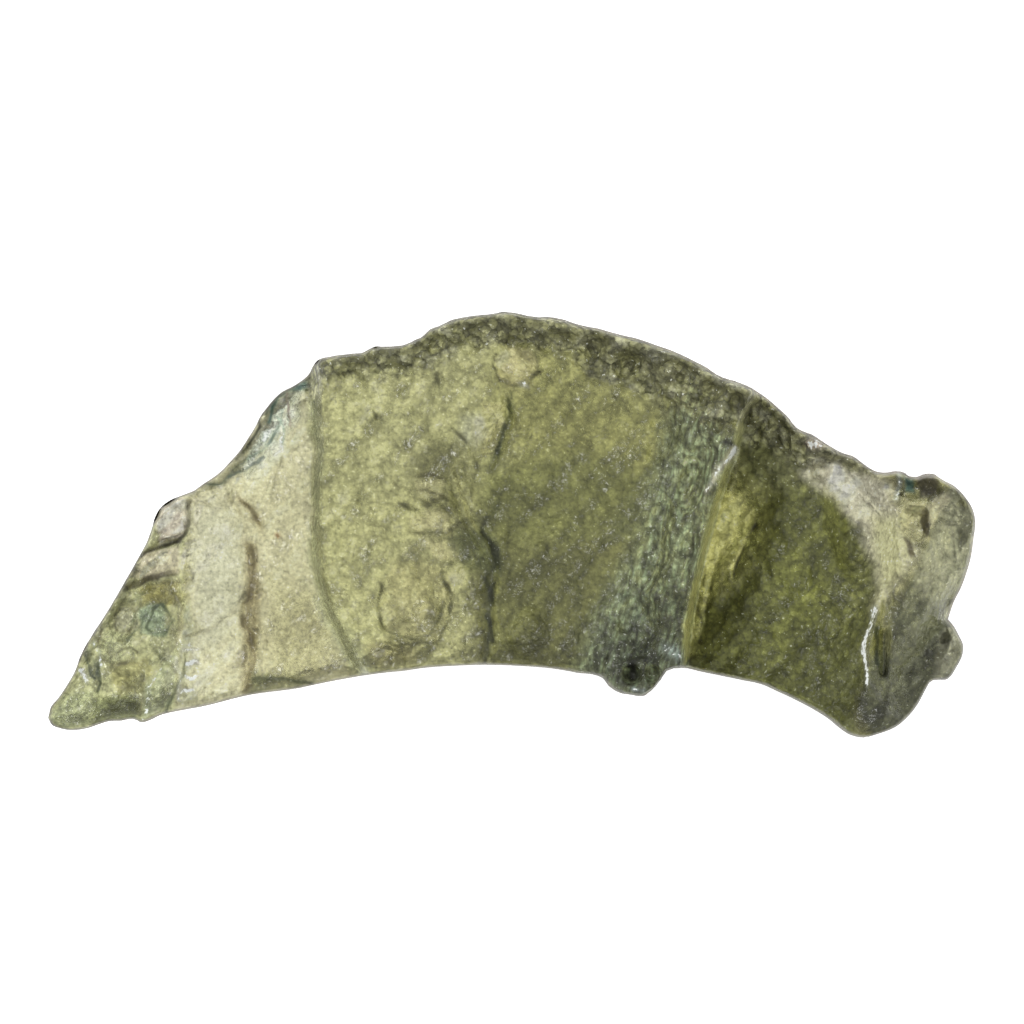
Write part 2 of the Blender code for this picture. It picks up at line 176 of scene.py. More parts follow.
def cells(x: Array, y: Array, cell: float, seed: int) -> tuple[Array, Array]:
    """An orange-peel skin: one scattered centre in each cell of a grid.

    Args:
        x: Places along the stone.
        y: Places across the stone.
        cell: Size of the cells.
        seed: Picks the centres.

    Returns:
        The squared distance to the nearest centre in cells, at most 1, and that centre's own random number.
    """
    shift = np.random.default_rng(seed).uniform(*CELL_MARGIN, (3, TABLE, TABLE))
    u, v = x / cell + CELL_SHIFT, y / cell + CELL_SHIFT
    i, j = np.floor(u).astype(int), np.floor(v).astype(int)
    nearest, number = np.ones(x.shape), np.zeros(x.shape)
    for di in (-1, 0, 1):
        for dj in (-1, 0, 1):
            a, b = (i + di) % TABLE, (j + dj) % TABLE
            du, dv = i + di + shift[0, a, b] - u, j + dj + shift[1, a, b] - v
            away = du * du + dv * dv
            number = np.where(away < nearest, shift[2, a, b], number)
            nearest = np.minimum(nearest, away)
    return nearest, number


def seen(colour: Triple) -> Array:
    """The light in a colour as it is seen: the power 2.4 of its share, with the usual small toe."""
    share = np.array(colour) / 255
    return np.where(share < 0.04045, share / 12.92, ((share + 0.055) / 1.055) ** 2.4)


def layered(x: Array, y: Array, layers: Layers) -> Array:
    """Sum of smooth random heights, each given by cell size, height and seed."""
    return sum(height * value_noise(x, y, size, seed) for size, height, seed in layers)


def layered_bowls(x: Array, y: Array, layers: Layers, middle: float) -> Array:
    """Sum of orange-peel bowls about a middle level, each given by cell size, height and seed."""
    return sum(height * (cells(x, y, size, seed)[0] - middle) for size, height, seed in layers)


def layered_wrinkles(x: Array, y: Array, layers: Layers) -> Array:
    """Sum of thin winding lines, each given by cell size, height and seed."""
    return sum(height * wrinkles(x, y, size, seed) for size, height, seed in layers)


def across_line(x: Array, y: Array, line: Pairs) -> Array:
    """How far each place lies to the right of a line that runs down the stone."""
    points = np.array(sorted(line, key=lambda point: point[1]))
    return x - np.interp(y, points[:, 1], points[:, 0])


@dataclass(frozen=True)
class Stretch:
    """One stretch of the outline, up to a line across the stone."""

    middle: Pair
    arched: Pairs
    hollow: Pairs
    bevel: float


@dataclass(frozen=True)
class Outline:
    """The stone seen from above, as stretches from the thin tip to the notch in the thick end."""

    tip: Pair = (-18.54, -7.78)
    notch: Pair = (17.48, -3.82)
    steps_per_line: int = 12
    stretches: tuple[Stretch, ...] = (
        Stretch(  # the rounded tip
            (-17.20, -7.06),
            ((-18.40, -7.30), (-18.16, -7.02), (-17.78, -6.46), (-17.46, -5.90)),
            ((-18.38, -8.05), (-18.01, -8.21), (-17.37, -8.26), (-16.92, -8.18)),
            0.2,
        ),
        Stretch(  # the faceted end, up to the crease
            (-13.20, -3.06),
            (
                (-17.24, -5.30), (-16.80, -4.50), (-16.28, -3.70), (-15.64, -2.62),
                (-14.98, -1.46), (-14.64, -0.86), (-14.40, -0.26), (-14.24, 0.26),
                (-14.02, 0.64), (-13.66, 0.92), (-13.06, 1.18), (-12.70, 1.32),
            ),
            ((-16.45, -8.02), (-16.08, -7.91), (-15.64, -7.89), (-15.08, -7.82), (-14.76, -7.94)),
            0.2,
        ),
        Stretch(  # the thin plate
            (-10.36, -1.46),
            (
                (-12.40, 1.54), (-11.68, 2.04), (-11.20, 2.54), (-10.88, 2.90),
                (-10.54, 3.42), (-10.24, 3.90), (-10.04, 4.30), (-9.84, 4.58),
            ),
            ((-14.44, -7.86), (-14.02, -7.66), (-13.33, -7.50), (-12.44, -7.34), (-10.44, -6.86)),
            0.22,
        ),
        Stretch(  # up to the step where the stone gets thicker
            (-7.72, 0.14),
            ((-9.20, 5.26), (-8.64, 5.56), (-8.08, 6.02), (-7.92, 6.32)),
            ((-8.44, -6.58), (-7.60, -6.40), (-6.20, -6.14), (-5.30, -6.00)),
            0.25,
        ),
        Stretch(  # the middle plate
            (-2.24, 0.74),
            (
                (-7.68, 6.56), (-7.24, 6.68), (-6.40, 6.80), (-5.88, 6.86), (-5.64, 7.00), (-5.40, 7.08),
                (-5.16, 7.08), (-4.64, 7.10), (-4.22, 7.16), (-3.85, 7.34), (-3.52, 7.50), (-3.30, 7.72),
            ),
            ((-4.24, -5.89), (-3.40, -5.77), (-2.28, -5.70), (-1.40, -5.66)),
            0.25,
        ),
        Stretch(  # the crown of the arch
            (2.20, 0.94),
            (
                (-2.84, 7.92), (-2.36, 8.14), (-1.84, 8.26), (-1.24, 8.34), (-0.76, 8.38),
                (-0.32, 8.46), (0.16, 8.42), (0.98, 8.26), (1.52, 8.26),
            ),
            ((0.36, -5.70), (1.80, -5.82), (2.72, -5.98)),
            0.28,
        ),
        Stretch(  # up to the foot of the ridge
            (5.16, 0.54),
            ((2.08, 8.16), (2.76, 7.94), (3.48, 7.80), (4.26, 7.58), (5.02, 7.40), (5.80, 7.14)),
            ((3.36, -6.06), (3.66, -6.18)),
            0.35,
        ),
        Stretch(  # the ridge, which ends in a knuckle at the hollow edge
            (7.80, -0.86),
            ((6.56, 6.86), (7.32, 6.50), (7.86, 6.20), (8.08, 6.04), (8.36, 5.88), (9.04, 5.66)),
            (
                (3.90, -6.48), (4.31, -6.74), (4.78, -6.84), (5.30, -6.86),
                (5.60, -6.66), (5.96, -6.24), (6.24, -5.86), (6.48, -5.78),
            ),
            0.4,
        ),
        Stretch(  # the recess beside the ridge
            (10.68, -1.66),
            ((9.56, 5.44), (10.12, 5.10), (10.68, 4.64), (11.08, 4.26), (11.42, 3.84)),
            ((7.06, -5.80), (7.48, -5.90), (8.44, -6.10), (9.23, -6.26), (10.00, -6.42)),
            0.35,
        ),
        Stretch(  # up to the smooth fold
            (13.28, -2.46),
            ((12.08, 3.54), (12.64, 3.18), (13.28, 2.82), (13.66, 2.70), (14.12, 2.38)),
            ((10.68, -6.72), (11.52, -7.12), (12.15, -7.46)),
            0.25,
        ),
        Stretch(  # up to the brow of the thick end
            (15.36, -3.18),
            (
                (14.56, 2.10), (14.92, 2.04), (15.40, 2.10), (15.66, 2.06), (15.96, 1.88),
                (16.22, 1.88), (16.48, 1.98), (16.86, 1.98), (17.20, 1.78),
            ),
            ((12.71, -7.82), (13.04, -8.10), (13.52, -8.42), (14.00, -8.53)),
            0.25,
        ),
        Stretch(  # the end face, as it turns down
            (16.44, -3.54),
            ((17.76, 1.46), (18.16, 1.04), (18.44, 0.56)),
            ((14.66, -8.38), (15.34, -8.10), (15.84, -7.68)),
            0.25,
        ),
        Stretch(  # the far edge
            (17.00, -3.70),
            ((18.54, 0.08), (18.48, -0.54), (18.36, -1.40)),
            ((16.26, -7.14), (16.54, -6.62), (16.72, -6.32), (17.46, -6.18)),
            0.25,
        ),
        Stretch(  # the nub below the notch
            (17.24, -3.78),
            ((18.20, -1.98), (18.00, -2.54)),
            ((17.78, -5.74), (18.04, -5.20)),
            0.22,
        ),
        Stretch(  # into the notch
            (17.48, -3.82),
            ((17.70, -3.14), (17.48, -3.82)),
            ((18.06, -4.82), (17.92, -4.50), (17.68, -4.06), (17.48, -3.82)),
            0.2,
        ),
    )

    @property
    def lines(self) -> int:
        """How many lines cross the stone after the tip."""
        return len(self.stretches)

    def run(self, runs: list[Pairs], along: Array) -> tuple[Array, Array]:
        """A smooth curve from the tip, read by line number: its length is shared evenly within each stretch.

        Args:
            runs: The points of each stretch.
            along: Line numbers, whole or not.

        Returns:
            The curve's x and y.
        """
        points = np.array([self.tip] + [point for run in runs for point in run])
        reach = np.concatenate([[0], np.cumsum(np.hypot(*np.diff(points, axis=0).T))])
        ends = np.cumsum([0] + [len(run) for run in runs])
        at = np.interp(along, np.arange(self.lines + 1), reach[ends])
        return smooth_curve(reach, points[:, 0], at), smooth_curve(reach, points[:, 1], at)

    def plan(self, along: Array, across: Array) -> tuple[Array, Array]:
        """The parabola through a line's points on the arched edge, in the middle and on the hollow edge.

        Args:
            along: Line numbers, whole or not.
            across: 1 on the arched edge, 0 in the middle and -1 on the hollow edge.

        Returns:
            The plan's x and y.
        """
        arched = self.run([stretch.arched for stretch in self.stretches], along)
        middle = self.run([(stretch.middle,) for stretch in self.stretches], along)
        hollow = self.run([stretch.hollow for stretch in self.stretches], along)
        x, y = (
            m * (1 - across**2) + a * across * (1 + across) / 2 - h * across * (1 - across) / 2
            for a, m, h in zip(arched, middle, hollow)
        )
        return x, y

    def edge_distance(self, x: Array, y: Array, side: Side) -> Array:
        """Plan distance from each place to one of the two edges."""
        lines = np.linspace(0, self.lines, self.steps_per_line * self.lines + 1)
        return distance_to(x, y, np.column_stack(self.plan(lines, np.full(lines.shape, side.value))))


@dataclass(frozen=True)
class Scoop:
    """A flake scar: a bowl with a sharp edge, 1 - r^2 deep where r is the distance in radii."""

    x: float
    y: float
    radii: Pair
    turn: float
    depth: float

    def depth_at(self, x: Array, y: Array) -> Array:
        """Depth at each place, negative outside."""
        turn = np.radians(self.turn)
        dx, dy = x - self.x, y - self.y
        across = (dx * np.cos(turn) + dy * np.sin(turn)) / self.radii[0]
        up = (dy * np.cos(turn) - dx * np.sin(turn)) / self.radii[1]
        return self.depth * (1 - across**2 - up**2)


@dataclass(frozen=True)
class Fold:
    """A wrinkle along a line, or a groove where the height is negative, with a bell-shaped section."""

    points: Pairs
    width: float
    height: float

    def height_at(self, x: Array, y: Array) -> Array:
        """Height at each place."""
        return self.height * bell(distance_to(x, y, self.points), self.width)


@dataclass(frozen=True)
class Tone:
    """A zone of the glass: a soft outline with its own colour, frosting and flatness, which fades the mottle
    and the painted form shading.
    """

    points: Pairs
    colour: Triple
    soft: float
    frost: float
    weight: float = 1.0
    flat: float = 0.0

    def mask(self, x: Array, y: Array) -> Array:
        """Share of this tone at each place."""
        away = distance_to(x, y, self.points + self.points[:1])
        signed = np.where(inside(x, y, self.points), away, -away)
        return self.weight * smooth_step(-self.soft, self.soft, signed)


@dataclass(frozen=True)
class Streak:
    """A line of colour painted on the glass, with a bell-shaped section. White lines are painted highlights;
    dark lines mostly follow creases, grooves and scar rims as painted shade, some are darker streaks of the
    glass.
    """

    points: Pairs
    colour: Triple
    width: float
    weight: float = 0.8

    @property
    def bright(self) -> bool:
        """True for a white painted highlight, False for a dark line."""
        return sum(self.colour) > BRIGHT_SUM

    def mask(self, x: Array, y: Array, least_width: float = 0.0) -> Array:
        """Share of this streak at each place."""
        return self.weight * bell(distance_to(x, y, self.points), max(self.width, least_width))


@dataclass(frozen=True)
class FacetedEnd:
    """The thin end: small flake scars with sharp edges between them, a rounded tip and a small lobe."""

    texture: float = 0.55
    scoops: tuple[Scoop, ...] = (
        Scoop(-17.56, -7.26, (0.9, 0.7), 20, 0.25),
        Scoop(-16.76, -5.78, (1.5, 1.0), 50, 0.40),
        Scoop(-15.44, -3.94, (0.7, 0.9), 0, 0.55),
        Scoop(-14.36, -4.16, (1.0, 1.6), 10, 0.40),
        Scoop(-15.30, -6.70, (1.4, 1.0), -20, 0.45),
        Scoop(-13.90, -6.60, (0.8, 1.2), 10, 0.35),
        Scoop(-14.84, -2.26, (1.0, 0.7), 60, 0.35),
    )
    folds: tuple[Fold, ...] = (
        Fold((
            (-12.84, 0.74), (-12.92, -0.06), (-13.44, -0.66), (-14.04, -0.86), (-14.84, -1.46),
        ), 0.16, -0.28),
    )
    tones: tuple[Tone, ...] = (
        Tone((
            (-19.24, -8.86), (-18.84, -3.06), (-14.84, 1.54), (-12.64, 1.74), (-13.0, -1.46),
            (-13.32, -3.46), (-13.56, -6.26), (-13.32, -8.86),
        ), (192, 194, 144), 0.12, 0.36),
        Tone((
            (-14.24, 0.46), (-13.92, 1.06), (-13.24, 1.18), (-12.8, 0.94), (-12.84, 0.14), (-13.24, -0.46),
            (-14.04, -0.74),
        ), (232, 222, 200), 0.08, 0.45, 1.0, 0.5),
        Tone((
            (-15.4, -2.1), (-14.84, -1.3), (-14.04, -1.06), (-13.32, -0.9), (-13.24, -2.06),
            (-14.44, -2.26),
        ), (220, 212, 178), 0.08, 0.4, 1.0, 0.4),
        Tone(((-14.96, -2.5), (-13.28, -2.26), (-13.24, -3.22), (-14.84, -3.3)), (140, 136, 84), 0.1, 0.25),
        Tone(((-14.96, -3.3), (-13.88, -3.14), (-13.8, -4.42), (-14.84, -4.5)), (154, 168, 134), 0.08, 0.35),
        Tone((
            (-15.96, -4.06), (-15.56, -3.22), (-14.92, -3.3), (-15.0, -4.34), (-15.72, -4.66),
        ), (198, 198, 158), 0.08, 0.3),
        Tone((
            (-16.64, -5.06), (-16.04, -4.26), (-14.92, -4.66), (-15.04, -5.34), (-16.12, -5.54),
        ), (190, 194, 146), 0.1, 0.25),
        Tone((
            (-15.96, -5.62), (-14.44, -5.46), (-14.36, -6.74), (-15.72, -6.9),
        ), (186, 184, 126), 0.12, 0.36),
        Tone((
            (-14.24, -5.86), (-13.48, -5.7), (-13.64, -7.26), (-14.64, -7.78), (-14.72, -6.66),
        ), (196, 202, 158), 0.1, 0.3),
        Tone((
            (-18.6, -7.86), (-18.04, -6.82), (-16.84, -6.66), (-16.76, -7.94), (-18.04, -8.34),
        ), (178, 184, 138), 0.2, 0.25),
        Tone(((-16.92, -6.98), (-15.0, -6.9), (-14.92, -7.86), (-16.76, -8.02)), (140, 145, 100), 0.2, 0.25),
    )
    streaks: tuple[Streak, ...] = (
        # Painted shade along the crease, in the groove of its fold.
        Streak((
            (-12.8, 0.78), (-12.72, 0.3), (-12.88, -0.14), (-13.28, -0.7), (-13.96, -0.78), (-14.48, -1.06),
            (-14.8, -1.3),
        ), (70, 66, 38), 0.08, 0.85),
        Streak(((-14.2, -0.3), (-13.7, -0.42), (-13.24, -0.34)), PALE_BROWN_LINE, 0.05, 0.6),
        Streak(((-14.1, -0.54), (-13.6, -0.62), (-13.16, -0.5)), PALE_BROWN_LINE, 0.05, 0.6),
        Streak((
            (-15.4, -2.46), (-14.96, -2.3), (-14.48, -2.18), (-14.04, -2.1), (-13.28, -1.94),
        ), PALE_BROWN_LINE, 0.09),
        Streak(((-15.96, -4.1), (-15.6, -3.26), (-15.2, -3.06)), (85, 85, 50), 0.09),
        Streak(((-15.3, -4.7), (-14.9, -4.1), (-14.6, -3.5)), (95, 110, 80), 0.08, 0.6),
        Streak(((-17.08, -4.9), (-16.8, -5.3), (-16.56, -5.9)), (70, 85, 75), 0.1, 0.7),
        Streak(((-16.76, -4.78), (-16.5, -5.2), (-16.36, -5.66)), (210, 225, 215), 0.05, 0.7),
        Streak(((-16.56, -5.3), (-15.7, -5.6), (-14.88, -5.58)), (90, 85, 50), 0.09, 0.7),
        Streak(((-14.3, -4.98), (-13.9, -5.4), (-13.6, -5.82)), (68, 74, 45), 0.12, 0.75),
        Streak(((-13.5, -5.3), (-13.3, -6.1), (-13.36, -7.06)), (235, 238, 230), 0.1, 0.7),
        Streak(((-12.8, -4.74), (-12.44, -5.54)), (225, 228, 215), 0.07, 0.6),
        Streak((
            (-12.8, 0.82), (-12.92, 0.1), (-13.28, -0.66), (-14.0, -0.9), (-14.6, -1.26), (-14.92, -1.42),
        ), (62, 58, 34), 0.08, 0.95),
        Streak(((-13.0, -0.18), (-13.56, -0.5), (-14.12, -0.66)), BROWN_LINE, 0.04, 0.7),
        Streak(((-15.4, -2.54), (-14.72, -2.34), (-14.24, -2.22), (-13.4, -2.1)), BROWN_LINE, 0.07, 0.85),
        Streak(((-15.2, -2.7), (-14.84, -3.18), (-15.2, -3.9), (-15.32, -4.42)), (110, 112, 74), 0.06, 0.75),
        Streak(((-15.76, -3.42), (-15.88, -4.06), (-15.68, -4.42), (-15.32, -4.3)), BROWN_LINE, 0.06, 0.8),
        Streak((
            (-14.36, -3.42), (-14.0, -3.18), (-13.52, -3.78), (-14.0, -4.42), (-14.6, -4.18),
            (-14.36, -3.42),
        ), (104, 118, 84), 0.06, 0.75),
        Streak((
            (-16.4, -4.3), (-16.52, -4.78), (-16.28, -5.18), (-15.8, -5.26), (-15.2, -5.02),
            (-14.84, -5.18),
        ), (92, 84, 48), 0.07, 0.85),
        Streak(((-17.08, -5.14), (-16.84, -5.98), (-16.64, -6.1)), (66, 82, 78), 0.08, 0.8),
        Streak(((-17.28, -5.78), (-17.04, -6.22)), PAINTED_HIGHLIGHT_WHITE, 0.07, 0.8),
        Streak(((-16.52, -5.5), (-16.4, -6.34), (-16.6, -6.7)), (84, 98, 62), 0.06, 0.75),
        Streak((
            (-14.64, -7.9), (-14.6, -6.58), (-13.64, -5.38), (-13.16, -4.78),
        ), (186, 196, 154), 0.12, 0.6),
        Streak(((-13.88, -7.54), (-13.16, -5.98), (-13.0, -5.06)), (92, 104, 70), 0.07, 0.8),
        Streak(((-13.04, -4.98), (-12.44, -4.98)), PAINTED_HIGHLIGHT_WHITE, 0.06, 0.85),
        Streak(((-13.0, -5.54), (-12.48, -5.46)), PAINTED_HIGHLIGHT_WHITE, 0.06, 0.8),
        Streak(((-13.08, -6.1), (-12.56, -6.02)), PAINTED_HIGHLIGHT_WHITE, 0.06, 0.85),
        Streak(((-13.12, -6.66), (-12.68, -6.58)), PAINTED_HIGHLIGHT_WHITE, 0.07, 0.85),
    )


@dataclass(frozen=True)
class ThinPlate:
    """The pale plate between the crease and the step, with clear chips along its outer edge."""

    texture: float = 0.2
    scoops: tuple[Scoop, ...] = (
        Scoop(-11.96, 1.60, (1.1, 0.6), 30, 0.60),
        Scoop(-10.50, 3.10, (1.2, 0.7), 55, 0.70),
        Scoop(-9.20, 4.80, (1.1, 0.7), 40, 0.70),
    )
    folds: tuple[Fold, ...] = (
        Fold(((-12.84, 0.74), (-13.24, -1.46), (-13.12, -4.66), (-13.64, -7.06), (-14.72, -7.94)), 0.3, 0.32),
        Fold((
            (-11.84, 1.34), (-10.84, 0.14), (-10.44, -2.26), (-10.64, -3.86), (-10.24, -5.46),
            (-10.64, -6.66),
        ), 0.2, -0.16),
    )
    tones: tuple[Tone, ...] = (
        Tone((
            (-13.0, 2.14), (-10.84, 3.34), (-8.76, 6.34), (-7.8, 6.06), (-7.92, 2.14), (-7.88, -0.66),
            (-7.4, -2.66), (-6.64, -4.86), (-5.56, -7.06), (-8.44, -8.26), (-13.56, -8.46), (-13.32, -4.66),
            (-12.92, -1.46),
        ), (210, 207, 168), 0.2, 0.35, 1.0, 0.45),
        Tone((
            (-12.64, 0.14), (-11.84, 0.74), (-11.0, -0.06), (-10.92, -3.06), (-11.44, -4.66),
            (-12.44, -5.06), (-12.76, -3.06),
        ), (202, 202, 171), 0.5, 0.35, 1.0, 0.5),
        Tone((
            (-10.84, 2.14), (-9.96, 3.74), (-9.04, 5.14), (-8.32, 5.26), (-8.44, 4.14), (-9.44, 2.94),
            (-10.44, 1.82),
        ), (218, 224, 202), 0.2, 0.15, 1.0, 0.3),
        Tone(((-9.08, 5.74), (-8.2, 5.82), (-8.12, 5.34), (-9.0, 5.26)), (75, 100, 85), 0.15, 0.3, 0.8),
        Tone((
            (-10.72, -0.78), (-10.28, -0.86), (-9.96, -3.06), (-9.96, -4.66), (-10.44, -6.66),
            (-10.84, -6.66), (-10.68, -4.66), (-10.84, -3.06),
        ), (135, 125, 85), 0.2, 0.3, 0.8),
        Tone((
            (-10.44, -6.02), (-8.16, -5.86), (-8.16, -6.82), (-10.44, -6.9),
        ), (125, 130, 85), 0.25, 0.3, 0.7),
        Tone((
            (-9.8, -2.0), (-7.8, -2.6), (-7.0, -4.6), (-6.6, -6.1), (-9.6, -6.5),
        ), (180, 177, 132), 0.8, 0.25, 0.8, 0.45),
    )
    streaks: tuple[Streak, ...] = (
        Streak(((-10.84, 0.98), (-10.44, 0.5), (-10.04, -0.06)), (130, 115, 70), 0.15, 0.7),
        Streak(((-12.6, 1.46), (-11.6, 1.7), (-10.9, 2.3), (-10.3, 3.1)), (90, 110, 90), 0.08, 0.75),
        Streak(((-10.6, 2.6), (-10.0, 2.94), (-9.5, 3.7), (-9.1, 4.5)), (85, 130, 115), 0.07, 0.7),
        Streak(((-9.4, 4.3), (-9.1, 3.7), (-9.2, 3.2)), (110, 160, 140), 0.06, 0.7),
        Streak(((-9.8, 4.4), (-9.2, 5.1), (-8.4, 5.4)), (75, 95, 75), 0.08, 0.75),
        Streak((
            (-10.48, -0.9), (-10.36, -2.34), (-10.84, -3.54), (-10.36, -4.42), (-10.24, -5.14),
            (-10.6, -6.58),
        ), (122, 110, 72), 0.2, 0.75),
        Streak((
            (-13.04, -4.42), (-12.04, -4.18), (-11.08, -3.42), (-10.72, -2.58),
        ), (150, 146, 112), 0.06, 0.7),
        Streak(((-10.84, 0.94), (-10.36, 0.58), (-10.12, 0.06)), (118, 104, 62), 0.1, 0.75),
        Streak(((-9.28, 2.62), (-9.4, 1.9), (-9.52, 0.82)), (132, 130, 96), 0.06, 0.7),
        Streak(((-9.32, -0.38), (-9.28, -0.46)), (178, 128, 70), 0.09, 0.8),
        Streak(((-8.8, 5.18), (-8.8, 3.82)), (168, 140, 128), 0.06, 0.75),
        Streak(((-9.16, 5.18), (-9.76, 4.1)), (70, 118, 108), 0.07, 0.85),
        Streak(((-9.04, 5.38), (-8.2, 5.5)), (86, 128, 116), 0.16, 0.7),
        Streak(((-9.16, 3.54), (-9.28, 3.1), (-9.52, 2.74)), PAINTED_HIGHLIGHT_WHITE, 0.07, 0.8),
        Streak(((-9.72, 3.74), (-9.96, 3.34)), (206, 232, 222), 0.07, 0.8),
        Streak(((-11.32, 1.9), (-10.48, 2.26), (-10.0, 2.62)), (92, 116, 108), 0.06, 0.85),
        Streak(((-12.8, 1.3), (-12.24, 1.62)), (88, 96, 78), 0.07, 0.8),
        Streak(((-11.08, 2.5), (-10.0, 3.86), (-10.12, 4.34), (-9.4, 4.94)), (66, 74, 56), 0.07, 0.9),
        Streak(((-10.32, -6.3), (-9.12, -6.18), (-7.92, -6.26)), (78, 88, 52), 0.09, 0.8),
    )


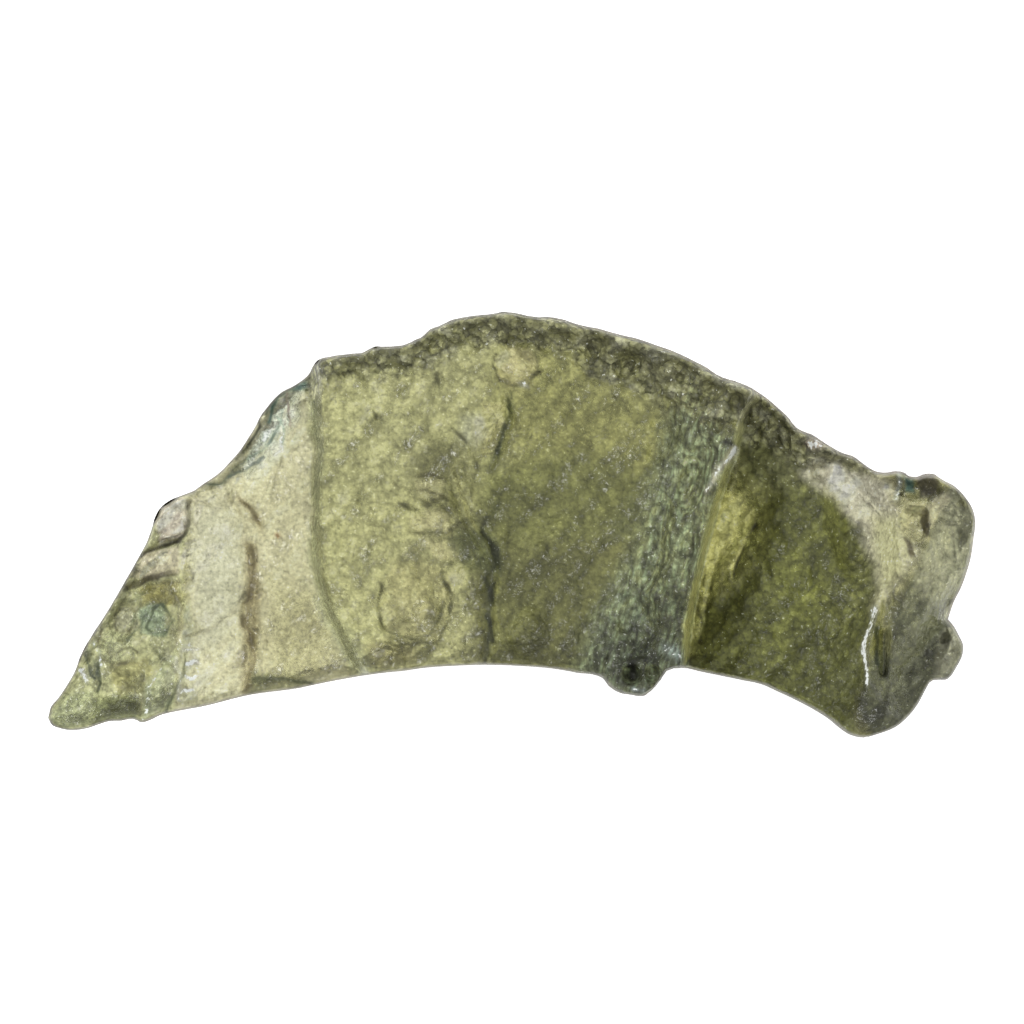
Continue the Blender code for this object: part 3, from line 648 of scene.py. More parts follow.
@dataclass(frozen=True)
class MiddlePlate:
    """The plate right of the step: an oval scallop, a round facet, a pit and a wrinkle, with painted shade
    along their rims and the wrinkle and a painted highlight by the facet.
    """

    texture: float = 0.45
    scoops: tuple[Scoop, ...] = (
        Scoop(-4.04, -3.46, (1.4, 2.0), 5, 0.45),
        Scoop(-0.96, 3.34, (0.8, 1.1), -15, 0.45),
        Scoop(0.24, 6.34, (0.9, 0.7), 10, 0.40),
        Scoop(-3.24, 0.84, (1.1, 0.7), 0, 0.28),
        Scoop(-4.84, 3.74, (1.3, 1.2), 30, 0.22),
        Scoop(-1.94, -3.40, (0.8, 1.9), 0, 0.30),
        Scoop(-6.30, -0.40, (1.0, 1.9), 0, 0.22),
        Scoop(1.90, 3.80, (1.5, 1.5), 0, 0.25),
        Scoop(1.70, -1.50, (1.5, 1.9), 10, 0.28),
        Scoop(0.60, -4.30, (1.1, 1.1), 0, 0.25),
    )
    folds: tuple[Fold, ...] = (
        Fold((
            (-2.44, 2.14), (-1.84, 0.14), (-1.24, -0.66), (-0.72, -1.66), (-0.84, -3.06), (-0.84, -5.06),
            (-1.04, -5.46),
        ), 0.22, 0.3),
        Fold(((-0.24, 4.94), (-0.04, 4.14), (-0.44, 2.94), (-0.84, 2.34)), 0.18, -0.3),
    )
    tones: tuple[Tone, ...] = (
        Tone((
            (-7.8, 7.74), (1.96, 8.94), (1.96, 4.94), (-0.24, 2.14), (-1.32, -1.46), (-1.24, -6.66),
            (-6.04, -7.06), (-6.52, -4.66), (-7.44, -1.86), (-7.92, 1.74),
        ), (183, 183, 130), 0.3, 0.36),
        Tone((
            (-0.44, 7.74), (5.16, 7.74), (6.76, 4.94), (6.16, 2.54), (1.96, 2.14), (-1.24, 3.34),
        ), (154, 154, 97), 0.8, 0.38),
        Tone((
            (-1.24, 2.54), (3.56, 2.94), (5.96, 2.14), (5.16, -0.86), (1.96, -1.46), (-1.64, -1.06),
        ), (125, 127, 77), 0.8, 0.5),
        Tone((
            (-1.56, -0.66), (1.96, -0.66), (5.16, -1.06), (3.96, -3.46), (3.16, -7.06), (-1.24, -7.06),
        ), (112, 113, 69), 0.7, 0.55),
        Tone((
            (-3.44, 3.34), (-1.8, 3.3), (-1.44, 0.14), (-1.64, -1.54), (-2.84, -1.46), (-3.16, 0.34),
            (-3.72, 1.74),
        ), (115, 115, 75), 0.5, 0.3, 0.8),
        Tone(((-3.72, 1.62), (-2.6, 1.66), (-2.68, 1.1), (-3.64, 1.06)), (200, 197, 146), 0.1, 0.3, 0.9, 0.4),
        Tone((
            (-4.08, 0.5), (-2.52, 0.46), (-2.6, -0.26), (-4.0, -0.22),
        ), (206, 202, 150), 0.1, 0.3, 0.95, 0.4),
        Tone((
            (-3.52, -0.7), (-2.24, -0.66), (-1.92, -1.3), (-2.84, -1.54),
        ), (198, 194, 144), 0.12, 0.3, 0.9, 0.4),
        Tone((
            (-2.44, -0.34), (-0.84, -0.46), (-0.44, -1.06), (-0.6, -1.98), (-1.64, -1.7), (-2.48, -0.98),
        ), (98, 103, 66), 0.25, 0.45, 0.75),
        Tone((
            (-5.12, -2.66), (-4.64, -1.66), (-3.44, -1.46), (-2.44, -2.06), (-2.36, -3.26), (-2.84, -4.66),
            (-4.04, -4.9), (-4.92, -4.26),
        ), (178, 174, 122), 0.3, 0.35, 0.7),
        Tone(((-6.8, -4.82), (-3.8, -4.82), (-3.8, -5.78), (-6.44, -6.1)), (150, 145, 100), 0.4, 0.35, 0.7),
        Tone((
            (-0.56, 6.54), (-0.12, 7.1), (0.76, 7.02), (1.12, 6.46), (0.76, 5.7), (0.04, 5.58),
            (-0.44, 5.9),
        ), (214, 208, 148), 0.1, 0.35, 1.0, 0.5),
        Tone((
            (-2.04, 4.3), (-1.24, 4.46), (-1.08, 3.34), (-1.64, 3.02), (-2.04, 3.34),
        ), (190, 192, 160), 0.2, 0.6, 0.7),
        Tone((
            (-1.24, 4.78), (-0.28, 4.82), (-0.24, 3.94), (-0.64, 2.86), (-1.24, 2.66), (-1.08, 3.74),
        ), (190, 186, 130), 0.12, 0.2, 0.9, 0.3),
    )
    streaks: tuple[Streak, ...] = (
        # Dark lines here are mostly painted shade along the grooves, the wrinkle and the scars' rims; the
        # white one is a painted highlight.
        Streak((
            (0.04, 5.22), (-0.04, 4.54), (-0.28, 3.74), (-0.52, 2.98), (-0.8, 2.58),
        ), (70, 80, 50), 0.11, 0.7),
        Streak((
            (-0.48, 0.94), (-1.24, -0.26), (-0.76, -0.98), (-0.48, -1.54), (-1.0, -2.1), (-0.76, -3.06),
            (-0.84, -4.66), (-0.96, -5.42),
        ), (62, 66, 40), 0.14, 0.8),
        Streak((
            (-2.72, -1.98), (-2.36, -2.78), (-2.52, -3.86), (-2.92, -4.74), (-4.04, -4.94), (-4.72, -4.62),
        ), (85, 86, 52), 0.13, 0.8),
        Streak(((-5.2, -2.3), (-5.24, -3.2), (-5.0, -4.2)), (120, 116, 72), 0.12, 0.6),
        Streak(((-0.48, 5.9), (0.16, 5.54), (0.84, 5.74), (1.12, 6.1)), (80, 76, 40), 0.1, 0.8),
        Streak(((-3.9, 1.0), (-3.3, 0.9), (-2.6, 1.04)), (70, 68, 38), 0.1, 0.8),
        Streak(((-3.6, 1.78), (-3.0, 1.86), (-2.5, 1.74)), (80, 76, 42), 0.1, 0.7),
        Streak(((-4.2, -0.34), (-3.4, -0.44), (-2.5, -0.38)), (90, 86, 50), 0.1, 0.6),
        Streak((
            (-1.08, -0.46), (-0.52, -1.18), (-0.44, -1.86), (-0.8, -2.66), (-0.88, -3.74), (-0.64, -4.7),
        ), (64, 68, 42), 0.12, 0.75),
        Streak((
            (-5.16, -2.38), (-5.32, -3.34), (-4.88, -4.3), (-3.92, -4.7), (-3.24, -4.42), (-2.84, -3.62),
            (-2.56, -2.78), (-2.72, -1.98),
        ), (84, 86, 50), 0.08, 0.66),
        Streak(((-4.64, 1.46), (-3.96, 1.22), (-3.32, 1.34), (-2.56, 1.1)), (88, 86, 50), 0.07, 0.8),
        Streak(((-4.52, 0.82), (-3.72, 0.66), (-2.92, 0.82), (-2.48, 0.54)), (78, 78, 44), 0.08, 0.85),
        Streak(((-5.56, 4.5), (-5.32, 4.14)), (92, 92, 52), 0.12, 0.8),
        Streak(((-3.0, 5.82), (-2.96, 5.26)), (84, 84, 48), 0.11, 0.8),
        Streak(((0.48, 5.58), (0.68, 5.5)), PAINTED_HIGHLIGHT_WHITE, 0.09, 0.9),
        Streak((
            (-0.52, 6.86), (-0.68, 6.22), (-0.28, 5.7), (0.44, 5.62), (1.0, 6.06),
        ), (84, 82, 46), 0.08, 0.85),
        Streak(((-0.24, 5.26), (0.0, 4.3), (-0.24, 3.5), (-0.68, 2.82)), (66, 74, 44), 0.1, 0.8),
        Streak(((-2.24, 3.74), (-1.64, 3.02), (-1.32, 2.14), (-1.48, 1.1)), (96, 96, 58), 0.09, 0.75),
        Streak(((-3.64, -0.5), (-2.6, -0.26), (-1.64, 0.14), (-1.0, -0.02)), (76, 76, 44), 0.09, 0.8),
        Streak(((-1.96, -0.66), (-1.48, -1.14), (-1.16, -1.7)), (78, 80, 48), 0.09, 0.6),
    )


@dataclass(frozen=True)
class Ridge:
    """The thick band with a sharp edge over the recess, streaked along its length, and its knuckle."""

    texture: float = 0.9
    direction: float = -13.0
    scoops: tuple[Scoop, ...] = (
        Scoop(6.10, 3.60, (0.7, 1.7), -12, 0.40),
        Scoop(7.30, 1.90, (0.6, 1.9), -16, 0.40),
        Scoop(5.70, -0.90, (0.6, 2.0), -14, 0.38),
        Scoop(6.90, -1.90, (0.5, 1.8), -12, 0.38),
        Scoop(5.00, -4.20, (0.9, 1.5), -8, 0.40),
        Scoop(4.84, -6.00, (0.45, 0.45), 0, 0.55),
        Scoop(5.64, -6.00, (0.38, 0.42), 0, 0.55),
    )
    folds: tuple[Fold, ...] = ()
    tones: tuple[Tone, ...] = (
        Tone((
            (7.16, 5.74), (8.96, 3.34), (8.44, 1.34), (7.8, -0.86), (7.24, -3.06), (6.92, -5.78),
            (5.96, -7.06), (3.56, -7.06), (2.56, -5.66), (3.48, -3.46), (5.0, -0.86), (5.8, 2.14),
            (6.28, 4.14),
        ), (142, 150, 114), 0.6, 0.5),
        Tone((
            (2.6, -7.2), (3.4, -4.2), (5.0, -2.6), (7.3, -2.6), (7.2, -7.2),
        ), (94, 100, 76), 0.5, 0.5, 0.85),
    )
    streaks: tuple[Streak, ...] = (
        # A painted highlight on the ridge's crest with painted shade beside it, painted shade in the knuckle's
        # two small scars and painted highlights near them.
        Streak(((8.84, 3.0), (8.56, 2.5), (8.24, 2.06), (7.8, 1.4)), (235, 228, 215), 0.13, 0.9),
        Streak(((8.4, 3.26), (8.72, 3.18)), (30, 30, 18), 0.16, 0.85),
        Streak(((4.8, -5.6), (4.9, -5.9)), (38, 42, 20), 0.26, 0.85),
        Streak(((5.7, -5.4), (5.76, -5.7)), (34, 36, 22), 0.22, 0.85),
        Streak(((4.9, -6.56), (5.2, -6.6)), (190, 200, 205), 0.12, 0.7),
        Streak(((6.2, -5.0), (6.6, -5.3)), (160, 172, 170), 0.22, 0.7),
    )


@dataclass(frozen=True)
class Recess:
    """The hollow beside the ridge: a smooth bright wedge of painted light at the ridge's foot, where light
    comes in through the ridge's wall, and darker, speckled glass.
    """

    texture: float = 0.75
    scoops: tuple[Scoop, ...] = (
        Scoop(9.60, 0.30, (1.2, 2.2), -15, 0.35),
        Scoop(11.60, -3.60, (1.8, 1.8), 0, 0.30),
    )
    folds: tuple[Fold, ...] = (
        Fold(((9.84, -0.06), (9.32, -0.9), (8.96, -1.78), (8.88, -2.14)), 0.1, -0.18),
        Fold(((8.3, -1.4), (7.9, -2.6), (7.66, -4.66)), 0.12, -0.15),
    )
    tones: tuple[Tone, ...] = (
        Tone((
            (8.96, 3.34), (11.56, 3.34), (13.56, 1.74), (14.96, -1.46), (14.44, -3.06), (13.96, -6.26),
            (13.56, -8.86), (7.16, -6.66), (7.56, -3.46), (8.96, -2.06), (9.84, 0.34),
        ), (108, 111, 58), 0.35, 0.6),
        Tone((
            (9.08, 4.34), (11.56, 3.94), (12.16, 1.74), (9.96, 0.94), (9.08, 2.14),
        ), (122, 124, 80), 0.5, 0.6, 0.9),
        Tone((
            (10.8, -2.14), (11.76, -1.94), (12.36, -2.46), (12.28, -3.26), (11.36, -3.94), (10.8, -3.46),
        ), (130, 134, 68), 0.5, 0.5, 0.8),
        Tone((
            (8.6, 2.2), (10.4, 1.2), (10.3, -0.4), (9.6, -1.9), (8.6, -2.8), (7.7, -3.2), (7.6, -0.6),
        ), (146, 146, 86), 0.5, 0.35, 0.8, 0.4),
        # Painted light: the bright wedge at the ridge's foot.
        Tone((
            (8.44, 1.42), (9.84, 0.46), (9.48, -0.82), (8.88, -1.78), (8.2, -2.22), (7.7, -3.42),
            (7.24, -5.3), (6.92, -5.6), (7.0, -3.86), (7.56, -1.46), (8.04, 0.14),
        ), (216, 214, 134), 0.12, 0.3, 1.0, 0.8),
        Tone((
            (8.7, -2.0), (8.2, -2.22), (7.7, -3.42), (7.24, -5.3), (6.92, -5.6), (7.0, -3.86), (7.4, -2.2),
        ), (168, 168, 98), 0.3, 0.35, 0.8, 0.5),
    )
    streaks: tuple[Streak, ...] = (
        # Painted shade in the grooves of the recess.
        Streak(((9.84, -0.06), (9.32, -0.9), (8.96, -1.78), (8.88, -2.14)), (80, 80, 32), 0.07, 0.8),
        Streak(((7.9, -2.6), (8.06, -3.1), (7.8, -3.7)), (85, 85, 35), 0.07, 0.7),
        Streak(((7.5, -3.3), (7.7, -4.1), (7.5, -4.8)), (85, 85, 35), 0.08, 0.7),
    )


@dataclass(frozen=True)
class ThickEnd:
    """The smooth pale fold, the knob with its small facets, the grey end face and the nub."""

    texture: float = 0.5
    scoops: tuple[Scoop, ...] = (
        Scoop(13.90, 0.10, (1.4, 3.2), 12, 1.10),
        Scoop(16.24, 1.36, (0.9, 0.6), 0, 0.60),
        Scoop(16.00, -0.10, (0.7, 0.9), -20, 0.50),
        Scoop(17.50, 0.10, (0.9, 1.6), -15, 0.40),
        Scoop(15.60, -6.30, (1.2, 1.5), -20, 0.45),
        Scoop(16.80, -4.60, (0.7, 0.9), 0, 0.45),
    )
    folds: tuple[Fold, ...] = (
        Fold(((14.7, -2.6), (14.56, -3.46), (14.2, -5.06), (14.08, -6.66)), 0.2, 0.4),
        Fold(((14.84, -4.4), (14.8, -5.9)), 0.18, -0.5),
    )
    tones: tuple[Tone, ...] = (
        Tone((
            (17.4, 1.42), (18.96, 1.74), (18.96, -3.86), (18.96, -7.06), (14.36, -8.86), (13.76, -7.06),
            (14.28, -5.46), (14.76, -5.06), (14.96, -3.86), (15.56, -2.66), (16.16, -1.46), (16.76, -0.26),
        ), (92, 94, 70), 0.2, 0.45),
        Tone((
            (17.48, 1.34), (18.96, 1.34), (18.76, -2.66), (16.56, -3.06), (16.04, -2.06), (16.76, -0.46),
        ), (148, 149, 118), 0.4, 0.45, 0.8),
        Tone((
            (11.72, 3.38), (13.76, 2.42), (15.04, 1.46), (15.4, 0.26), (16.08, -1.18), (15.56, -1.86),
            (14.96, -2.74), (14.52, -3.34), (14.72, -1.86), (14.2, -0.66), (13.76, 0.26), (12.72, 1.3),
            (11.8, 1.98),
        ), (230, 225, 200), 0.45, 0.55, 1.0, 0.5),
        Tone((
            (14.36, 0.14), (15.4, 0.26), (16.08, -1.18), (15.56, -1.86), (14.96, -2.74), (14.52, -3.34),
            (14.72, -1.86),
        ), (218, 216, 166), 0.3, 0.45, 0.95, 0.9),
        Tone((
            (15.52, 1.02), (16.56, 0.94), (16.44, 0.34), (16.64, -0.66), (15.76, -0.86), (15.44, 0.14),
        ), (206, 202, 148), 0.08, 0.35, 1.0, 0.6),
        Tone((
            (16.56, 0.74), (17.36, 1.26), (17.48, 0.94), (16.96, 0.14), (16.68, -0.26),
        ), (202, 198, 160), 0.08, 0.4, 1.0, 0.6),
        Tone((
            (16.12, 1.9), (16.76, 1.98), (17.08, 1.58), (16.96, 1.06), (16.28, 1.02),
        ), (84, 80, 60), 0.08, 0.6),
        Tone(((15.64, 1.9), (16.08, 1.82), (16.08, 1.18), (15.68, 1.22)), (72, 98, 88), 0.08, 0.6),
        Tone((
            (16.28, 0.62), (16.68, 0.46), (16.76, -0.26), (16.6, -0.58), (16.28, -0.02),
        ), (92, 84, 52), 0.07, 0.6, 0.9),
        Tone((
            (17.2, -4.1), (17.64, -3.98), (18.1, -4.8), (17.9, -5.4), (17.4, -6.2), (16.8, -6.3),
        ), (162, 162, 134), 0.12, 0.45, 0.9),
        Tone(((15.64, -0.58), (15.88, -0.7), (16.08, -1.3), (15.8, -1.3)), (80, 68, 38), 0.07, 0.6, 0.9),
    )
    streaks: tuple[Streak, ...] = (
        # Painted highlights, painted shade in the groove below the fold, and darker spots.
        Streak(((15.52, 1.98), (15.44, 1.5), (15.32, 1.0)), (200, 214, 214), 0.1, 0.9),
        Streak(((11.8, 3.2), (12.2, 3.1)), (225, 210, 195), 0.18, 0.8),
        Streak(((14.44, -3.34), (14.28, -4.02), (14.12, -4.9), (14.12, -6.42)), (205, 208, 190), 0.08, 0.85),
        Streak(((14.56, -4.2), (14.62, -5.0), (14.6, -5.62)), (52, 62, 24), 0.12, 0.9),
        Streak(((14.76, -3.1), (14.96, -3.9), (15.1, -5.1)), (150, 150, 100), 0.15, 0.6),
        Streak(((15.36, -2.1), (15.6, -2.24)), (90, 86, 50), 0.14, 0.7),
        Streak(((15.44, -2.8), (15.6, -2.9)), (70, 66, 45), 0.14, 0.7),
    )


Region = FacetedEnd | ThinPlate | MiddlePlate | Ridge | Recess | ThickEnd


@dataclass(frozen=True)
class RoughRim:
    """The rough band of small flake scars along the arched edge, darker, with painted glints in lighter
    patches of some cells.
    """

    depths: Pairs = (
        (-8.4, 0.0), (-7.8, 1.0), (-3.0, 1.2), (1.5, 1.1), (3.0, 1.9),
        (8.0, 2.0), (11.0, 1.4), (13.5, 0.6), (15.0, 0.0),
    )
    bowls: Layers = ((0.85, 0.5, 33), (0.36, 0.24, 34))
    bowl_middle: float = 0.45
    fade: float = 0.5
    uneven: Layers = ((0.7, 0.35, 31), (0.3, 0.2, 32))
    border_soft: float = 0.2
    dark: Triple = (134, 134, 96)
    dark_share: float = 0.85
    # Painted glints: lighter patches in some of the band's cells.
    light: Triple = (196, 196, 160)
    patch: float = 0.42
    patch_seed: int = 71
    patch_range: Pair = (0.62, 0.95)
    frost: float = 0.5
    texture: float = 1.3

    def band(self, x: Array, y: Array, to_arched: Array) -> Array:
        """1 in the band and 0 outside it, with an uneven border."""
        places, depths = np.array(self.depths).T
        depth = np.interp(x, places, depths) + layered(x, y, self.uneven)
        return smooth_step(-self.border_soft, self.border_soft, depth - to_arched)

    def height_at(self, x: Array, y: Array) -> Array:
        """Two sizes of bowls side by side, with sharp ridges between them."""
        return layered_bowls(x, y, self.bowls, self.bowl_middle)


@dataclass(frozen=True)
class Relief:
    """Heights of the skin over the plan."""

    outline: Outline
    regions: tuple[Region, ...]
    rim: RoughRim
    edge_share: float = 0.42
    hollow_bevel: Pair = (0.18, 2.8)
    arched_power: float = 2.6
    under_bevel: Pair = (1.1, 1.9)
    spot_centre: Pair = (3.0, -0.4)
    spot_depth: float = 0.08
    spot_blend: Pair = (0.2, 0.6)
    under_rise: Pair = (1.0, 0.9)
    under_reach: Pair = (21.0, 9.0)
    thin_plate: Pairs = ((0, 1.2), (1, 1.9), (2, 2.9), (3, 2.4), (4, 2.7), (15, 2.7))
    middle_plate: Pairs = ((0, 4.0), (4, 4.0), (5, 4.3), (6, 4.8), (7, 5.6), (8, 7.2), (15, 7.2))
    thick_end: Pairs = (
        (0, 3.2), (8, 3.2), (9, 4.6), (10, 5.0), (11, 6.6), (12, 6.0), (13, 5.2), (14, 4.6), (15, 4.0),
    )
    step_line: Pairs = (
        (-7.88, 8.00), (-7.80, 6.14), (-7.72, 2.94), (-7.80, -0.66), (-7.72, -1.86),
        (-7.24, -3.46), (-6.64, -4.66), (-6.24, -5.46), (-5.64, -6.20),
    )
    step_width: float = 0.28
    cliff_line: Pairs = (
        (10.20, 6.50), (9.30, 4.40), (8.96, 3.14), (8.16, 0.74),
        (7.56, -1.46), (7.16, -3.46), (6.94, -5.06), (6.70, -7.00),
    )
    cliff_width: float = 0.2
    cliff_fade: Pair = (2.8, 5.4)
    level_crest: float = 5.2
    crest_end: Pair = (9.3, 10.7)
    peel_middle: float = 0.4
    peel: Layers = ((0.55, 0.10, 21), (0.30, 0.045, 22))
    wrinkle: Layers = ((1.5, 0.08, 23), (0.8, 0.05, 24))
    swell_waves: tuple[tuple[float, float, float, float], ...] = (
        (0.21, 0.13, 0.4, 0.10),
        (-0.17, 0.34, 1.9, 0.08),
        (0.55, -0.42, 4.1, 0.05),
        (0.83, 0.61, 2.7, 0.035),
        (-0.95, 0.88, 5.2, 0.03),
    )
    under_scoops: tuple[Scoop, ...] = (
        Scoop(-15.50, -5.80, (2.6, 1.9), 30, 0.35),
        Scoop(-11.20, -2.80, (3.2, 2.6), 45, 0.40),
        Scoop(-6.00, 3.20, (3.4, 2.4), 15, 0.45),
        Scoop(-5.00, -3.60, (3.0, 2.1), -10, 0.35),
        Scoop(3.40, 5.90, (3.6, 1.6), -8, 0.50),
        Scoop(12.40, 1.20, (2.8, 2.0), -30, 0.45),
        Scoop(15.40, -4.60, (2.4, 3.0), 10, 0.50),
        Scoop(10.20, -4.90, (2.6, 1.5), -20, 0.35),
    )
    rim_scoop_count: int = 26
    rim_scoop_reach: Pair = (2.3, 10.8)
    rim_scoop_across: Pair = (0.78, 0.94)
    rim_scoop_width: Pair = (0.55, 0.9)
    rim_scoop_height: Pair = (0.5, 0.8)
    rim_scoop_turn: Pair = (0, 90)
    rim_scoop_depth: Pair = (0.3, 0.6)
    rim_seed: int = 11

    def right_of(self, x: Array, y: Array, line: Pairs, width: float) -> Array:
        """0 left of a line that runs down the stone, 1 right of it, and a smooth step between."""
        return smooth_step(-width, width, across_line(x, y, line))

    def profile(self, pairs: Pairs, along: Array) -> Array:
        """A smooth curve through pairs of line number and thickness."""
        numbers, values = np.array(pairs, dtype=float).T
        return smooth_curve(numbers, values, along)

    def thickness(self, x: Array, y: Array, along: Array) -> Array:
        """Thickness before scars: each plate's own profile, changed over at the step and at the cliff."""
        thin, middle, end = (
            self.profile(pairs, along) for pairs in (self.thin_plate, self.middle_plate, self.thick_end)
        )
        over_step = self.right_of(x, y, self.step_line, self.step_width)
        over_cliff = self.right_of(x, y, self.cliff_line, self.cliff_width)
        crest = smooth_step(*self.cliff_fade, y) * (1 - smooth_step(*self.crest_end, along))
        end = end + (self.level_crest - end) * crest
        return thin + (middle - thin) * over_step + (end - middle) * over_cliff

    def rim_scoops(self) -> tuple[Scoop, ...]:
        """The row of larger flake scars along the arched edge."""
        random = np.random.default_rng(self.rim_seed)
        places = np.linspace(*self.rim_scoop_reach, self.rim_scoop_count)
        xs, ys = self.outline.plan(places, random.uniform(*self.rim_scoop_across, self.rim_scoop_count))
        return tuple(
            Scoop(
                x,
                y,
                (random.uniform(*self.rim_scoop_width), random.uniform(*self.rim_scoop_height)),
                random.uniform(*self.rim_scoop_turn),
                random.uniform(*self.rim_scoop_depth),
            )
            for x, y in zip(xs, ys)
        )

    def scooped(self, x: Array, y: Array, scoops: tuple[Scoop, ...]) -> Array:
        """Depth of the flake scars: the deepest wins where they meet, so the edges between them are sharp."""
        deepest = np.zeros(x.shape)
        for scoop in scoops:
            deepest = np.maximum(deepest, scoop.depth_at(x, y))
        return deepest

    def swells(self, x: Array, y: Array) -> Array:
        """Low swells: a sum of plane waves, by waves per millimetre along x and y, shift and height."""
        return sum(h * np.sin(2 * np.pi * (a * x + b * y) + shift) for a, b, shift, h in self.swell_waves)

    def fine(self, x: Array, y: Array) -> Array:
        """The orange-peel skin: shallow bowls side by side, and thin wrinkles."""
        return layered_bowls(x, y, self.peel, self.peel_middle) + layered_wrinkles(x, y, self.wrinkle)

    def under_bowl(self, x: Array, y: Array) -> Array:
        """The back before its scars: a rise with the square of the distance from the resting spot."""
        dx = (x - self.spot_centre[0]) / self.under_reach[0]
        dy = (y - self.spot_centre[1]) / self.under_reach[1]
        return self.under_rise[0] * dx**2 + self.under_rise[1] * dy**2

    def bevel(self, distance: Array, width: Array | float, power: Array | float) -> Array:
        """A quarter of a superellipse: 0 on the outline and 1 from the bevel's width inwards."""
        short = 1 - np.clip(distance / width, 0, 1)
        return (1 - short**power) ** (1 / power)

    def top(self, along: Array, across: Array, x: Array, y: Array) -> Array:
        """Height of the top: plates less scars, plus folds, swells and peel, bevelled down to the edge."""
        bowl, full = self.under_bowl(x, y), self.thickness(x, y, along)
        edge = bowl + self.edge_share * full
        bevels = np.array([stretch.bevel for stretch in self.outline.stretches])
        arched = np.interp(along, np.arange(1, self.outline.lines + 1), bevels)
        share = (1 + across) / 2
        width = self.hollow_bevel[0] + (arched - self.hollow_bevel[0]) * share
        power = self.hollow_bevel[1] + (self.arched_power - self.hollow_bevel[1]) * share
        to_arched = self.outline.edge_distance(x, y, Side.ARCHED)
        to_hollow = self.outline.edge_distance(x, y, Side.HOLLOW)
        scoops = sum((region.scoops for region in self.regions), self.rim_scoops())
        height = bowl + full - self.scooped(x, y, scoops) + self.swells(x, y) + self.fine(x, y)
        for region in self.regions:
            height = height + sum(fold.height_at(x, y) for fold in region.folds)
        height = edge + (height - edge) * self.bevel(np.minimum(to_arched, to_hollow), width, power)
        rough = self.rim.band(x, y, to_arched) * self.rim.height_at(x, y)
        return height + rough * np.minimum(1, to_arched / self.rim.fade)

    def under(self, along: Array, x: Array, y: Array) -> Array:
        """Height of the back: the bowl less the resting spot, with its own scars, never below the spot."""
        bowl, full = self.under_bowl(x, y), self.thickness(x, y, along)
        edge = bowl + self.edge_share * full
        height = bowl - self.spot_depth + self.scooped(x, y, self.under_scoops)
        height = height + (self.swells(y, x) + self.fine(y, x)) * smooth_step(*self.spot_blend, bowl)
        away = np.minimum(*(self.outline.edge_distance(x, y, side) for side in Side))
        return edge + (np.maximum(height, 0.0) - edge) * self.bevel(away, *self.under_bevel)

    def pole(self, point: Pair, along: float) -> Triple:
        """The vertex in which all rows meet, at the height of the edge."""
        x, y = (np.array([value]) for value in point)
        full = self.thickness(x, y, np.array([along]))
        return point[0], point[1], float((self.under_bowl(x, y) + self.edge_share * full)[0])


@dataclass
class Look:
    """How the skin looks from above at each vertex: its light, frosting, texture, flatness and marks."""

    tone: Array
    frost: Array
    texture: Array
    flat: Array
    line: Array
    # Painted highlights: how far the colour goes to white.
    painted_highlight: Array
    fibre: Array


